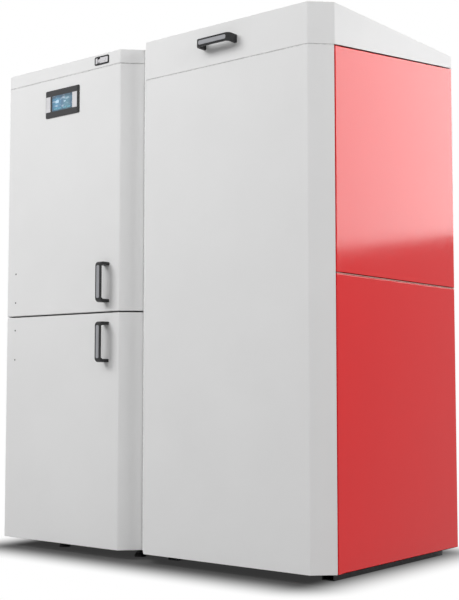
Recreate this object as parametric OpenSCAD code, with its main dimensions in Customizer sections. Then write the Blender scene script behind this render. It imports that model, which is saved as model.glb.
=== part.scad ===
// Pellet boiler in two steel cabinets: the boiler on the left, its fuel hopper on the right.
// Sizes are in millimetres. X runs along the front, Y from the front to the back, Z up.
// The origin is on the floor, under the middle of the whole object.

/* [Cabinets] */
// Width of the boiler cabinet
boiler_w = 637; // [630:1:680]
// Width of the hopper cabinet
hopper_w = 718; // [660:1:800]
// Gap between the two cabinets
cabinet_gap = 4; // [4:0.5:10]
// Depth of both cabinets, from the door fronts to the back
cabinet_d = 735; // [680:1:810]
// Height of both cabinets above their feet
cabinet_h = 1570; // [1420:1:1720]
// Height of the feet and skids
base_h = 30; // [28:1:40]
// Cut-off corner along the upright front edges, measured on each side
chamfer = 54; // [48:1:58]
// Thickness of the casing sheet
sheet = 1.5; // [1.2:0.1:2]
// Width of the folded edges of the casing panels
fold = 16; // [12:1:18]
// Height of the joint between the red side panels, above the casing's lower edge
panel_split = 815; // [760:1:880]
// Width of that joint
panel_gap = 4; // [3:0.5:6]

/* [Doors] */
// Height of the joint between the two doors, above the casing's lower edge
door_split = 736; // [700:1:780]
// Width of the joint between the two doors
split_gap = 5; // [5:0.5:8]
// Straight side of a door behind its cut-off corner
door_side = 26; // [24:1:30]
// Gap between a door's back edge and the casing
door_gap = 4; // [4:0.5:6]
// Gap between the upper door and the top cover
door_top_gap = 3; // [2.5:0.5:5]
// Width of the folded edge round a door's back
door_fold = 20; // [18:1:24]
// Small cut on a door's back corners, which clears the casing as it turns
corner_cut = 4; // [3.5:0.5:5]
// Radius of the door hinge pins
door_pin_r = 4; // [3.5:0.5:5]
// Distance of the hinge pins from the door's side and back faces
door_pin_inset = 10; // [9.5:0.5:11]
// Thickness of the hinge plates
hinge_plate_t = 3; // [2.5:0.5:3]
// Depth of the door panel's inner lining
door_lining_t = 8; // [6:1:12]

/* [Top cover and lid] */
// Height of the boiler's top cover
band_h = 43; // [38:1:50]
// Height of the hopper lid at the front
lid_front_h = 122; // [110:1:140]
// Height of the hopper lid at the back
lid_back_h = 41.5; // [36:0.5:50]
// Gap between the lid and the cabinet below it
lid_gap = 3; // [2:0.5:4]
// Radius of the lid's hinge pins
lid_pin_r = 3; // [2.5:0.5:4]
// Outer radius of the lid's hinge knuckles
knuckle_r = 6; // [5.5:0.5:7]
// Width of each lid hinge
lid_hinge_w = 70; // [60:1:90]
// Distance from the lid's sides to the middle of each hinge
lid_hinge_inset = 150; // [120:1:200]

/* [Handles] */
// Overall length of a bow handle
handle_len = 127; // [120:1:150]
// Width of a handle
handle_w = 24; // [20:1:28]
// Distance from the panel to the grip's front
handle_reach = 39; // [36:1:46]
// Thickness of the grip and of its two legs
handle_t = 10; // [9:0.5:11]
// Height of each door handle's middle above or below the door joint
handle_off = 94; // [85:1:110]
// Distance of the door handles' middle from the boiler's right side
handle_from_side = 107.5; // [95:0.5:125]
// Distance of the lid handle's middle from the hopper's left side
lid_handle_x = 352; // [330:1:380]
// Length of the light strip let into a grip
inlay_len = 94; // [84:1:98]
// Width of that strip
inlay_w = 15; // [12:0.5:17]
// Radius of a bow handle's outer corners
handle_corner_r = 13; // [8:0.5:16]

/* [Display and switches] */
// Width of the display's frame
display_w = 160; // [152:1:168]
// Height of the display's frame
display_h = 92; // [86:1:98]
// Distance of the display's middle below the casing's top
display_down = 129; // [110:1:160]
// Width of the lit screen, which is a 4.3 inch panel
screen_w = 95; // [90:1:98]
// Height of the lit screen
screen_h = 50; // [46:1:54]
// Width of the switch window's frame
window_w = 64; // [60:1:72]
// Height of the switch window's frame
window_h = 28; // [27:1:30]
// Distance of the window's middle from the boiler's right side
window_from_side = 136; // [120:1:160]
// Radius of the mains rocker
rocker_r = 8.8; // [8:0.1:9]
// Radius of the reset button
button_r = 4.5; // [4:0.1:5]

/* [Water and smoke side] */
// Space left of the pressure vessel, which holds the burner
vessel_left = 215; // [205:1:230]
// Gap between the vessel and the cabinet's right side
vessel_side_gap = 37; // [34:1:40]
// Space in front of the vessel
vessel_front = 145; // [140:1:155]
// Space behind the vessel, which holds the smoke box and the feed auger
vessel_behind = 155; // [148:1:175]
// Space under the vessel, from the casing's lower edge
vessel_under = 65; // [50:1:90]
// Space above the vessel for its jacket, the control box and the cover
vessel_above = 200; // [180:1:230]
// Depth of the water space between the outer and inner walls
water_t = 30; // [28:1:32]
// Thickness of the vessel's steel walls
wall = 5; // [4:0.5:6]
// Inner height of the burning chamber
chamber_h = 570; // [550:1:590]
// Inner height of the smoke chamber on top of the tubes
smoke_h = 205; // [195:1:210]
// Inner radius of a smoke tube
tube_r = 28; // [25:1:29]
// Distance between neighbouring smoke tubes
tube_pitch = 90; // [84:1:94]
// Thickness of the insulation jacket
jacket_t = 28; // [24:1:30]
// Outer radius of the smoke outlet
spigot_r = 65; // [60:1:66]
// Length of the smoke outlet behind the cabinet
spigot_reach = 70; // [60:1:90]
// Radius of the bore of the flow and return sockets, for a one inch thread
socket_r = 15.15; // [13:0.05:16]
// Radius of the bore of the drain socket, for a half inch thread
drain_r = 9.3; // [8.8:0.05:10]
// Length of the sockets behind the cabinet
socket_reach = 32; // [25:1:45]

/* [Fuel feed] */
// Length of the straight ends of the drop hose
hose_stub = 33; // [30:1:50]
// Inner radius of the drop hose
hose_r = 30; // [26:1:31]
// Radius of the feed auger's flight
flight_r = 28; // [24:1:29]
// Pitch of the feed auger's flight
flight_pitch = 50; // [44:1:60]
// Radius of the feed auger's shaft
shaft_r = 9; // [8:0.5:10]
// Inner radius of the auger tube
feed_tube_r = 32; // [31:1:33]
// Thickness of the bin's sheet
bin_t = 2; // [1.5:0.5:3]
// Distance of the sloping floor's upper edge below the casing's top
slope_down = 355; // [330:5:420]
// Running clearance between a pin or shaft and its bore
fit_gap = 0.05; // [0.03:0.01:0.08]

/* [Hidden] */

// Colours
GREY = [0.86, 0.86, 0.86];
RED = [0.80, 0.20, 0.21];
BLACK = [0.07, 0.07, 0.08];
PALE = [0.72, 0.72, 0.72];
DARK = [0.22, 0.22, 0.23];
ZINC = [0.66, 0.68, 0.70];
IRON = [0.33, 0.32, 0.31];
WOOL = [0.80, 0.78, 0.70];
STONE = [0.75, 0.66, 0.50];
SCREEN = [0.35, 0.62, 0.75];

$fn = 48;

// Overall places
total_w = boiler_w + cabinet_gap + hopper_w;
inlay_proud = 0.4;
front_reach = handle_reach + inlay_proud;
overall_d = front_reach + cabinet_d + spigot_reach;
front_y = front_reach - overall_d / 2;
boiler_x = -total_w / 2;
hopper_x = boiler_x + boiler_w + cabinet_gap;
case_top = base_h + cabinet_h;
band_z = case_top - band_h;
split_z = base_h + door_split;

// Doors and front frame, in the boiler's own X and Y
door_d = chamfer + door_side;
frame_y = door_d + door_gap;
frame_t = 2;
frame_plate_y = frame_y + frame_t;
frame_side = 46;
frame_return = 12;
frame_top_z = band_z - 0.5;
upper_door_z = split_z + split_gap / 2;
upper_door_h = band_z - door_top_gap - upper_door_z;
lower_door_h = split_z - split_gap / 2 - base_h;
door_boss_r = door_pin_inset - 1;
door_pin_deep = 16;
handle_x = boiler_w - handle_from_side;
pin_bore_r = door_pin_r + fit_gap;

// Panels
panel_split_z = base_h + panel_split;
panel_top_z = band_z - 1;
rear_panel_y = cabinet_d - 2 * sheet - 0.5;
frame_relief = 6;

// Vessel and what stands round it, in the boiler's own X and Y
vessel_x = vessel_left;
vessel_w = boiler_w - vessel_side_gap - vessel_left;
vessel_y = vessel_front;
vessel_d = cabinet_d - vessel_behind - vessel_front;
vessel_z = base_h + vessel_under;
vessel_top = case_top - vessel_above;
vessel_mid_x = vessel_x + vessel_w / 2;
vessel_back_y = vessel_y + vessel_d;
jacket_wall = wall + water_t;
chamber_x = vessel_x + jacket_wall;
chamber_w = vessel_w - 2 * jacket_wall;
chamber_back_y = vessel_back_y - jacket_wall;
chamber_z = vessel_z + jacket_wall;
chamber_top = chamber_z + chamber_h;
smoke_top = vessel_top - 2 * wall;
smoke_z = smoke_top - smoke_h;
hatch_frame = 15;
tube_mid_y = (vessel_y + chamber_back_y) / 2 + 25;
tube_places = [for (i = [-1:1], j = [-1:1]) [vessel_mid_x + i * tube_pitch, tube_mid_y + j * tube_pitch]];
flue_z = smoke_z + smoke_h / 2;
flue_hole_r = 55;
burner_y = chamber_back_y - 85;
burner_z = chamber_z + 175;
burner_hole_r = 66;
burner_tube_r = 60;
jacket_x = vessel_x - jacket_t;
jacket_right = vessel_x + vessel_w + jacket_t;
jacket_top = vessel_top + jacket_t;
jacket_front = vessel_y - jacket_t;
jacket_back = vessel_back_y + jacket_t;
hatch_t = 22;
hatch_w = chamber_w + 10;

// Cleaning gear
clean_z = smoke_z + 70;
clean_r = 8;
clean_arm = 90;
rack_lug_y = tube_mid_y - 80;
clean_y = rack_lug_y - clean_arm;
clean_pin_r = 4;
rack_z = smoke_z + 12;
rack_t = 5;
rack_lug_w = 40;
slot_r = clean_pin_r + 0.8;
slot_z = clean_z - 0.5;

// Water fittings
flow_z = vessel_top - 240;
flow_x = vessel_x + 60;
return_z = vessel_z + 110;
return_x = vessel_x + vessel_w - 70;
drain_z = vessel_z + 40;
drain_x = vessel_x + 60;
socket_wall = 6;
socket_thread = 30;
socket_end_y = cabinet_d + socket_reach;

// Fuel feed, in the boiler's or the hopper's own X and Y
auger_gap = 12;
feed_tube_t = 3;
auger_y = jacket_back + auger_gap + feed_tube_t + feed_tube_r;
drop_x = jacket_x - 57;
feed_tube_left = drop_x - 35;
feed_motor_len = 40;
feed_motor_half = 45;
auger_left = feed_tube_left - 29;
slope_top = case_top - slope_down;
bin_x = 30;
bin_right = hopper_w - 30;
bin_y = 62;
bin_back = cabinet_d - 23;
trough_r = feed_tube_r + bin_t;
hose_wall = 3;
hose_drop_y = auger_y - burner_y;
hose_fall = hose_drop_y + 2 * hose_stub;
burner_box_h = 120;
burner_box_d = 150;
burner_neck = 33;
burner_wall = 3;
burner_left = jacket_x - 125;
burner_right = jacket_x - 2;
burner_reach = 170;
hose_low_z = burner_z + burner_box_h / 2 + burner_neck;
hose_top_z = hose_low_z + hose_fall;
tube_outlet = 26;
auger_z = hose_top_z + tube_outlet + feed_tube_t + feed_tube_r;

// Lid, in the hopper's own X and Y. Its joint is level round the cut-off corners and rises behind them
lid_pin_y = cabinet_d + knuckle_r + 1;
lid_slope = (lid_front_h - lid_back_h) / (cabinet_d - chamfer);
function joint_z(y) = case_top - lid_front_h + lid_slope * max(0, y - chamfer);
lid_pin_z = joint_z(cabinet_d) + lid_gap / 2;
hinge_leaf_t = 3;
knuckle_gap = 0.5;

// Switches
window_x = boiler_w - window_from_side;
window_z = band_z + band_h / 2 + 0.5;
rocker_w = 12;
rocker_x = window_x - 13;
rocker_y = rocker_r - 1.2;
button_x = window_x + 14;
button_travel = 2;
bezel_proud = 1.5;

// Places a child in the boiler cabinet or in the hopper cabinet
module in_boiler() { translate([boiler_x, front_y, 0]) children(); }
module in_hopper() { translate([hopper_x, front_y, 0]) children(); }

// A box from its low corner to its high corner
module box(a, b) { translate(a) cube(b - a); }

// An outline in Y and Z, drawn out along X
module along_x(x, len) { translate([x, 0, 0]) rotate([90, 0, 90]) linear_extrude(len) children(); }

// A round bar or tube along X or Y
module rod_x(x, y, z, r, len) { translate([x, y, z]) rotate([0, 90, 0]) cylinder(r = r, h = len); }
module rod_y(x, y, z, r, len) { translate([x, y, z]) rotate([-90, 0, 0]) cylinder(r = r, h = len); }

// A rectangle with round corners, centred
module round_rect(w, h, r) {
    square([w - 2 * r, h], center = true);
    square([w, h - 2 * r], center = true);
    for (i = [-1, 1], j = [-1, 1]) translate([i * (w / 2 - r), j * (h / 2 - r)]) circle(r = r);
}

// Plan of a cabinet with its front corners cut off, moved inwards by e
function plan_points(w, d, c, e) = let (k = e * tan(22.5)) [[e, d - e], [e, c + k], [c + k, e],
    [w - c - k, e], [w - e, c + k], [w - e, d - e]];

// Plan of a door, which has small cuts on its back corners as well
function door_points(w, d, c, b, e) = let (k = e * tan(22.5)) [[e, d - b - k], [e, c + k],
    [c + k, e], [w - c - k, e], [w - e, c + k], [w - e, d - b - k], [w - b - k, d - e],
    [b + k, d - e]];

// Side panel with folded edges; its outside lies at x = 0, and its top may slope.
// Its level folds stop short of the corners by the relief, which clears what stands there
module folded_panel(y0, y1, z0, top0, top1, relief) {
    rise = (top1 - top0) / (y1 - y0);
    difference() {
        along_x(0, fold) polygon([[y0, z0], [y1, z0], [y1, top1], [y0, top0]]);
        along_x(sheet, fold) polygon([[y0 + sheet, z0 + sheet], [y1 - sheet, z0 + sheet],
            [y1 - sheet, top1 - sheet - rise * sheet], [y0 + sheet, top0 - sheet + rise * sheet]]);
        for (y = [y0 + sheet, y1 - sheet - relief])
            box([sheet, y, z0 - 1], [fold + 1, y + relief, max(top0, top1) + 1]);
    }
}

// Supports and steel body

rail_w = 40;
rail_t = 4;
foot_r = 19;
foot_bolt_r = 5;
rail_xs = [vessel_x, vessel_x + vessel_w - rail_w];
foot_rows = [frame_plate_y + frame_t + 20, vessel_back_y - rail_w];
module boiler_rails() {
    color(DARK) in_boiler() for (x = rail_xs) difference() {
        box([x, frame_plate_y + frame_t, base_h], [x + rail_w, vessel_back_y, vessel_z]);
        box([x + rail_t, frame_plate_y - 1, base_h + rail_t],
            [x + rail_w - rail_t, vessel_back_y + 1, vessel_z - rail_t]);
        for (y = foot_rows) translate([x + rail_w / 2, y, base_h - 1])
            cylinder(r = foot_bolt_r + 0.5, h = rail_t + 2);
    }
}

module boiler_feet() {
    color(BLACK) in_boiler() for (x = rail_xs, y = foot_rows) translate([x + rail_w / 2, y, 0]) {
        rotate_extrude() polygon([[0, 0], [foot_r, 0], [foot_r, 3], [foot_r - 5, 13], [0, 13]]);
        cylinder(r = 10, h = base_h - 6, $fn = 6);
        cylinder(r = foot_bolt_r, h = base_h + 14);
    }
}

// The pressure vessel is welded from plates and tubes: an outer shell, a firebox, nine smoke tubes
// and a smoke chamber. Water fills the shell round the other three. The welds are left out, so two
// plates stand weld_root apart where they meet
weld_root = 0.05;
tube_wall = 4;
bush_wall = 6;
inner_y = vessel_y + wall;
burner_port_r = burner_hole_r + wall;
flue_port_r = flue_hole_r + wall;
bush_r = clean_r + bush_wall;

// An opening in the shell's front plate, before a chamber from z0 to z1
module front_opening(z0, z1) {
    box([chamber_x + hatch_frame, vessel_y - 1, z0],
        [chamber_x + chamber_w - hatch_frame, vessel_y + wall + 1, z1]);
}

// A tube along X or Y, from one place to another
module tube_x(x0, x1, y, z, r, hole_r) {
    difference() {
        rod_x(x0, y, z, r, x1 - x0);
        rod_x(x0 - 1, y, z, hole_r, x1 - x0 + 2);
    }
}
module tube_y(x, y0, y1, z, r, hole_r) {
    difference() {
        rod_y(x, y0, z, r, y1 - y0);
        rod_y(x, y0 - 1, z, hole_r, y1 - y0 + 2);
    }
}

// A water socket, set into a hole in the shell's back plate, with its thread cut from outside
module water_socket(x, z, r) {
    difference() {
        tube_y(x, vessel_back_y - wall, socket_end_y, z, r + socket_wall, r - 1.5);
        rod_y(x, socket_end_y - socket_thread, z, r, socket_thread + 1);
    }
}

module vessel_shell() {
    x1 = vessel_x + vessel_w;
    y0 = inner_y + weld_root;
    y1 = vessel_back_y - wall - weld_root;
    color(IRON) in_boiler() {
        difference() {
            box([vessel_x, vessel_y, vessel_z], [x1, inner_y, vessel_top]);
            front_opening(chamber_z, chamber_top - hatch_frame);
            front_opening(smoke_z + hatch_frame, smoke_top - hatch_frame);
        }
        difference() {
            box([vessel_x, vessel_back_y - wall, vessel_z], [x1, vessel_back_y, vessel_top]);
            rod_y(vessel_mid_x, vessel_back_y - wall - 1, flue_z, flue_port_r, wall + 2);
            for (s = water_sockets)
                rod_y(s[0], vessel_back_y - wall - 1, s[1], s[2] + socket_wall + weld_root, wall + 2);
        }
        difference() {
            box([vessel_x, y0, vessel_z], [vessel_x + wall, y1, vessel_top]);
            rod_x(vessel_x - 1, burner_y, burner_z, burner_port_r, wall + 2);
            rod_x(vessel_x - 1, clean_y, clean_z, bush_r, wall + 2);
        }
        box([x1 - wall, y0, vessel_z], [x1, y1, vessel_top]);
        for (z = [vessel_z, vessel_top - wall])
            box([vessel_x + wall + weld_root, y0, z], [x1 - wall - weld_root, y1, z + wall]);
        for (s = water_sockets) water_socket(s[0], s[1], s[2]);
    }
}

// The two sides, the back, the floor and the roof of a chamber between z0 and z1, open at the front
module chamber_plates(z0, z1) {
    x1 = chamber_x + chamber_w;
    y1 = chamber_back_y - weld_root;
    for (x = [chamber_x - wall, x1]) box([x, inner_y, z0 - wall], [x + wall, y1, z1 + wall]);
    box([chamber_x - wall, chamber_back_y, z0 - wall], [x1 + wall, chamber_back_y + wall, z1 + wall]);
    for (z = [z0 - wall, z1]) box([chamber_x + weld_root, inner_y, z], [x1 - weld_root, y1, z + wall]);
}

// The holes for the smoke tubes, in a plate whose lower face is at z
module tube_holes(z) {
    for (p = tube_places) translate([p[0], p[1], z - 1]) cylinder(r = tube_r + tube_wall, h = wall + 2);
}

module firebox() {
    color(IRON) in_boiler() {
        difference() {
            chamber_plates(chamber_z, chamber_top);
            rod_x(chamber_x - wall - 1, burner_y, burner_z, burner_hole_r, wall + 2);
            tube_holes(chamber_top);
        }
        tube_x(vessel_x, chamber_x - wall - weld_root, burner_y, burner_z, burner_port_r, burner_hole_r);
    }
}

module smoke_tubes() {
    color(IRON) in_boiler() for (p = tube_places) translate([p[0], p[1], chamber_top]) difference() {
        cylinder(r = tube_r + tube_wall, h = smoke_z - chamber_top);
        translate([0, 0, -1]) cylinder(r = tube_r, h = smoke_z - chamber_top + 2);
    }
}

module smoke_chamber() {
    color(IRON) in_boiler() {
        difference() {
            chamber_plates(smoke_z, smoke_top);
            rod_x(chamber_x - wall - 1, clean_y, clean_z, clean_r + fit_gap, wall + 2);
            rod_y(vessel_mid_x, chamber_back_y - 1, flue_z, flue_hole_r, wall + 2);
            tube_holes(smoke_z - wall);
        }
        tube_x(vessel_x, chamber_x - wall - weld_root, clean_y, clean_z, bush_r, clean_r + fit_gap);
        tube_y(vessel_mid_x, chamber_back_y + wall + weld_root, vessel_back_y, flue_z, flue_port_r,
            flue_hole_r);
    }
}
water_sockets = [[flow_x, flow_z, socket_r], [return_x, return_z, socket_r], [drain_x, drain_z, drain_r]];

module vessel_insulation() {
    window_x0 = vessel_mid_x - hatch_w / 2 - 1;
    window_x1 = vessel_mid_x + hatch_w / 2 + 1;
    color(WOOL) in_boiler() difference() {
        box([jacket_x, jacket_front, vessel_z], [jacket_right, jacket_back, jacket_top]);
        box([vessel_x, vessel_y, vessel_z - 1], [vessel_x + vessel_w, vessel_back_y, vessel_top]);
        box([window_x0, jacket_front - 1, vessel_z + 8], [window_x1, vessel_y + 1, chamber_top + 12]);
        box([window_x0, jacket_front - 1, smoke_z - 12], [window_x1, vessel_y + 1, vessel_top]);
        rod_x(jacket_x - 1, burner_y, burner_z, burner_hole_r + 32, jacket_t + 2);
        rod_x(jacket_x - 1, clean_y, clean_z, clean_r + 2, jacket_t + 2);
        box([vessel_mid_x - flue_box_w / 2 - 1, vessel_back_y - 1, flue_box_z - 1],
            [vessel_mid_x + flue_box_w / 2 + 1, jacket_back + 1, flue_box_z + flue_box_h + 1]);
        for (s = water_sockets) rod_y(s[0], vessel_back_y - 1, s[1], s[2] + socket_wall + 1, jacket_t + 2);
    }
}

// A cast cover plate in front of the vessel from z0 to z1, with a raised rim
hatch_rim = 25;
hatch_sink = 4;
module cast_cover(z0, z1) {
    x0 = vessel_mid_x - hatch_w / 2;
    x1 = vessel_mid_x + hatch_w / 2;
    difference() {
        box([x0, vessel_y - hatch_t, z0], [x1, vessel_y, z1]);
        box([x0 + hatch_rim, vessel_y - hatch_t - 1, z0 + hatch_rim],
            [x1 - hatch_rim, vessel_y - hatch_t + hatch_sink, z1 - hatch_rim]);
    }
}
hatch_low = smoke_z - 10;
hatch_high = vessel_top - 2;
door_low = chamber_z - 25;
door_high = chamber_top + 10;

module cleaning_hatch() { color(IRON) in_boiler() cast_cover(hatch_low, hatch_high); }

module combustion_door() { color(IRON) in_boiler() cast_cover(door_low, door_high); }

lining_t = 35;
module combustion_door_lining() {
    inset = hatch_frame + 4;
    color(STONE) in_boiler() box([chamber_x + inset, vessel_y, ash_top + 8],
        [chamber_x + chamber_w - inset, vessel_y + lining_t, chamber_top - inset]);
}

module hatch_knobs() {
    rows = [hatch_low + 12, hatch_high - 12, door_low + 12, door_high - 12];
    color(BLACK) in_boiler() for (z = rows, i = [-1, 1])
        translate([vessel_mid_x + i * (hatch_w / 2 - 13), vessel_y - hatch_t, z]) rotate([90, 0, 0]) {
            cylinder(r = 6, h = 8);
            translate([0, 0, 5]) cylinder(r = 12, h = 9, $fn = 6);
        }
}

ash_top = chamber_z + 110;
// The ash box is welded from a floor and four walls, with a handle across its front
ash_box_t = 2;
module ash_box() {
    x0 = chamber_x + 20;
    x1 = chamber_x + chamber_w - 20;
    y0 = vessel_y + 12;
    y1 = chamber_back_y - 20;
    t = ash_box_t;
    color(ZINC) in_boiler() {
        box([x0, y0, chamber_z], [x1, y1, chamber_z + t]);
        for (y = [y0, y1 - t]) box([x0, y, chamber_z + t + weld_root], [x1, y + t, ash_top]);
        for (x = [x0, x1 - t]) box([x, y0 + t + weld_root, chamber_z + t + weld_root],
            [x + t, y1 - t - weld_root, ash_top]);
        for (i = [-1, 1]) box([vessel_mid_x + i * 50 - 4, y0 - 8, chamber_z + 64],
            [vessel_mid_x + i * 50 + 4, y0, chamber_z + 72]);
        box([vessel_mid_x - 54, y0 - 11, chamber_z + 64], [vessel_mid_x + 54, y0 - 8, chamber_z + 72]);
    }
}

// Tube cleaning: a shaft with an arm lifts the rack of turbulators

module turbulator_rack() {
    rod_h = rack_z - chamber_top - 40;
    color(ZINC) in_boiler() {
        for (i = [-1:1]) box([vessel_mid_x + i * tube_pitch - 6, tube_mid_y - tube_pitch - 10, rack_z],
            [vessel_mid_x + i * tube_pitch + 6, tube_mid_y + tube_pitch + 10, rack_z + rack_t]);
        box([vessel_mid_x - tube_pitch - 6, rack_lug_y - rack_lug_w / 2, rack_z],
            [vessel_mid_x + tube_pitch + 6, rack_lug_y + rack_lug_w / 2, rack_z + rack_t]);
        for (p = tube_places) translate([p[0], p[1], rack_z - rod_h]) {
            cylinder(r = 4, h = rod_h + rack_t);
            for (h = [0:75:rod_h - 30]) translate([0, 0, h]) cylinder(r = tube_r - 4, h = 3);
        }
        difference() {
            box([vessel_mid_x - 4, rack_lug_y - rack_lug_w / 2, rack_z],
                [vessel_mid_x + 4, rack_lug_y + rack_lug_w / 2, clean_z + 14]);
            for (y = [-5, 5]) rod_x(vessel_mid_x - 5, rack_lug_y + y, slot_z, slot_r, 10);
            box([vessel_mid_x - 5, rack_lug_y - 5, slot_z - slot_r],
                [vessel_mid_x + 5, rack_lug_y + 5, slot_z + slot_r]);
        }
    }
}

module cleaning_shaft() {
    arm_x = vessel_mid_x + 6;
    color(ZINC) in_boiler() {
        rod_x(jacket_x - 22, clean_y, clean_z, clean_r, arm_x + 8 - jacket_x + 22);
        rod_x(arm_x, clean_y, clean_z, clean_r + 5, 8);
        box([arm_x, clean_y, clean_z - 7], [arm_x + 8, clean_y + clean_arm, clean_z + 7]);
        rod_x(arm_x, clean_y + clean_arm, clean_z, 7, 8);
        rod_x(arm_x - 12, clean_y + clean_arm, clean_z, clean_pin_r, 14);
    }
}

module cleaning_motor() {
    color(DARK) in_boiler() difference() {
        union() {
            box([jacket_x - 40, clean_y - 28, clean_z - 28], [jacket_x, clean_y + 28, clean_z + 28]);
            rod_x(jacket_x - 90, clean_y, clean_z, 24, 51);
        }
        rod_x(jacket_x - 24, clean_y, clean_z, clean_r + fit_gap, 30);
    }
}

// Smoke fan and outlet

flue_box_w = 230;
flue_box_h = 170;
flue_box_z = flue_z - flue_box_h / 2;
flue_box_back = rear_panel_y - 12;
flue_wall = 3;
fan_y = (vessel_back_y + flue_box_back) / 2;
fan_r = (flue_box_back - vessel_back_y) / 2 - 10;
module flue_box() {
    spigot_end = cabinet_d + spigot_reach;
    color(ZINC) in_boiler() difference() {
        union() {
            box([vessel_mid_x - flue_box_w / 2, vessel_back_y, flue_box_z],
                [vessel_mid_x + flue_box_w / 2, flue_box_back, flue_box_z + flue_box_h]);
            rod_y(vessel_mid_x, flue_box_back - 1, flue_z, spigot_r, spigot_end - flue_box_back + 1);
            rod_y(vessel_mid_x, rear_panel_y + sheet, flue_z, spigot_r + 4, 6);
        }
        box([vessel_mid_x - flue_box_w / 2 + flue_wall, vessel_back_y + flue_wall, flue_box_z + flue_wall],
            [vessel_mid_x + flue_box_w / 2 - flue_wall, flue_box_back - flue_wall,
                flue_box_z + flue_box_h - flue_wall]);
        rod_y(vessel_mid_x, vessel_back_y - 1, flue_z, flue_hole_r, flue_wall + 2);
        rod_y(vessel_mid_x, flue_box_back - flue_wall - 1, flue_z, spigot_r - flue_wall,
            spigot_end - flue_box_back + flue_wall + 2);
        translate([fan_x, fan_y, flue_box_z + flue_box_h - 5]) cylinder(r = fan_shaft_r + 4, h = 10);
    }
}
fan_x = vessel_mid_x + 40;
fan_shaft_r = 4;
fan_up = 40;
fan_motor_h = 75;

// A fan wheel on its shaft, with its back plate at the foot
module fan_wheel(r, blade_h, shaft_h) {
    cylinder(r = r, h = 2);
    cylinder(r = 11, h = blade_h);
    cylinder(r = fan_shaft_r, h = shaft_h);
    for (a = [0:45:315]) rotate([0, 0, a]) translate([r * 0.45, -1, 0]) cube([r * 0.5, 2, blade_h]);
}

module flue_fan_rotor() {
    color(DARK) in_boiler() translate([fan_x, fan_y, flue_box_z + fan_up])
        fan_wheel(fan_r, 45, flue_box_h - fan_up + 30);
}

module flue_fan_motor() {
    flange_r = fan_y - jacket_back - 2;
    color(BLACK) in_boiler() translate([fan_x, fan_y, flue_box_z + flue_box_h]) difference() {
        union() {
            cylinder(r = flange_r, h = 8);
            cylinder(r = flange_r - 5, h = fan_motor_h);
        }
        translate([0, 0, -1]) cylinder(r = fan_shaft_r + fit_gap, h = 36);
    }
}

// Burner on the vessel's left side

flange_t = 8;
blower_port_r = 22;
module burner() {
    t = burner_wall;
    low = [burner_left, burner_y - burner_box_d / 2, burner_z - burner_box_h / 2];
    high = [burner_right, burner_y + burner_box_d / 2, burner_z + burner_box_h / 2];
    tube_end = chamber_x + burner_reach;
    color(ZINC) in_boiler() difference() {
        union() {
            box(low, high);
            rod_x(burner_right - 1, burner_y, burner_z, burner_tube_r, tube_end - burner_right + 1);
            rod_x(vessel_x - flange_t, burner_y, burner_z, burner_hole_r + 28, flange_t);
            translate([drop_x, burner_y, burner_z])
                cylinder(r = hose_r + hose_wall + 3, h = hose_low_z - burner_z);
        }
        box(low + [t, t, t], high - [t, t, t]);
        rod_x(burner_right - t - 1, burner_y, burner_z, burner_tube_r - 5, tube_end - burner_right + t + 2);
        translate([drop_x, burner_y, burner_z]) cylinder(r = hose_r, h = hose_low_z - burner_z + 1);
        rod_y(blower_x, low[1] - 1, burner_z, blower_port_r, t + 2);
    }
}
blower_x = burner_left + 62;
blower_r = 52;
blower_back = burner_y - burner_box_d / 2;
blower_w = 62;
blower_motor_r = 28;
blower_motor_len = 45;

module burner_blower() {
    color(BLACK) in_boiler() difference() {
        union() {
            rod_y(blower_x, blower_back - blower_w, burner_z, blower_r, blower_w);
            rod_y(blower_x, blower_back - blower_w - blower_motor_len, burner_z, blower_motor_r,
                blower_motor_len + 1);
        }
        rod_y(blower_x, blower_back - blower_w + 3, burner_z, blower_r - 3, blower_w - 6);
        rod_y(blower_x, blower_back - 5, burner_z, blower_port_r, 10);
        rod_y(blower_x, blower_back - blower_w - 30, burner_z, fan_shaft_r + fit_gap, 40);
        for (a = [30:60:330]) translate([blower_x, blower_back - blower_w, burner_z])
            rotate([0, a, 0]) translate([38, 0, 0]) rotate([-90, 0, 0]) cylinder(r = 6, h = 8, center = true);
    }
}

module blower_wheel() {
    color(ZINC) in_boiler() translate([blower_x, blower_back - 12, burner_z]) rotate([90, 0, 0])
        fan_wheel(blower_r - 8, 36, 75);
}

module igniter() {
    x0 = burner_right - burner_wall - 60;
    color(PALE) in_boiler() {
        rod_x(x0, burner_y + 30, burner_z - 24, 6, chamber_x + 55 - x0);
        box([x0, burner_y + 22, burner_z - burner_box_h / 2 + burner_wall],
            [x0 + 10, burner_y + 38, burner_z - 18]);
    }
}

module feed_hose() {
    r = hose_r + hose_wall;
    color(PALE) in_boiler() translate([drop_x, auger_y, hose_top_z]) difference() {
        hose_solid(r, 0);
        hose_solid(hose_r, 1);
    }
}

// The hose's run: straight down, a slope at 45 degrees and straight down again, with a round
// elbow at each turn; its ends reach further by e
module hose_solid(r, e) {
    translate([0, 0, -hose_stub]) {
        cylinder(r = r, h = hose_stub + e);
        sphere(r = r + 1);
        rotate([135, 0, 0]) cylinder(r = r, h = hose_drop_y / sin(45));
    }
    translate([0, -hose_drop_y, -hose_fall - e]) {
        cylinder(r = r, h = hose_stub + e);
        translate([0, 0, hose_stub + e]) sphere(r = r + 1);
    }
}

// Boiler casing

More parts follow.
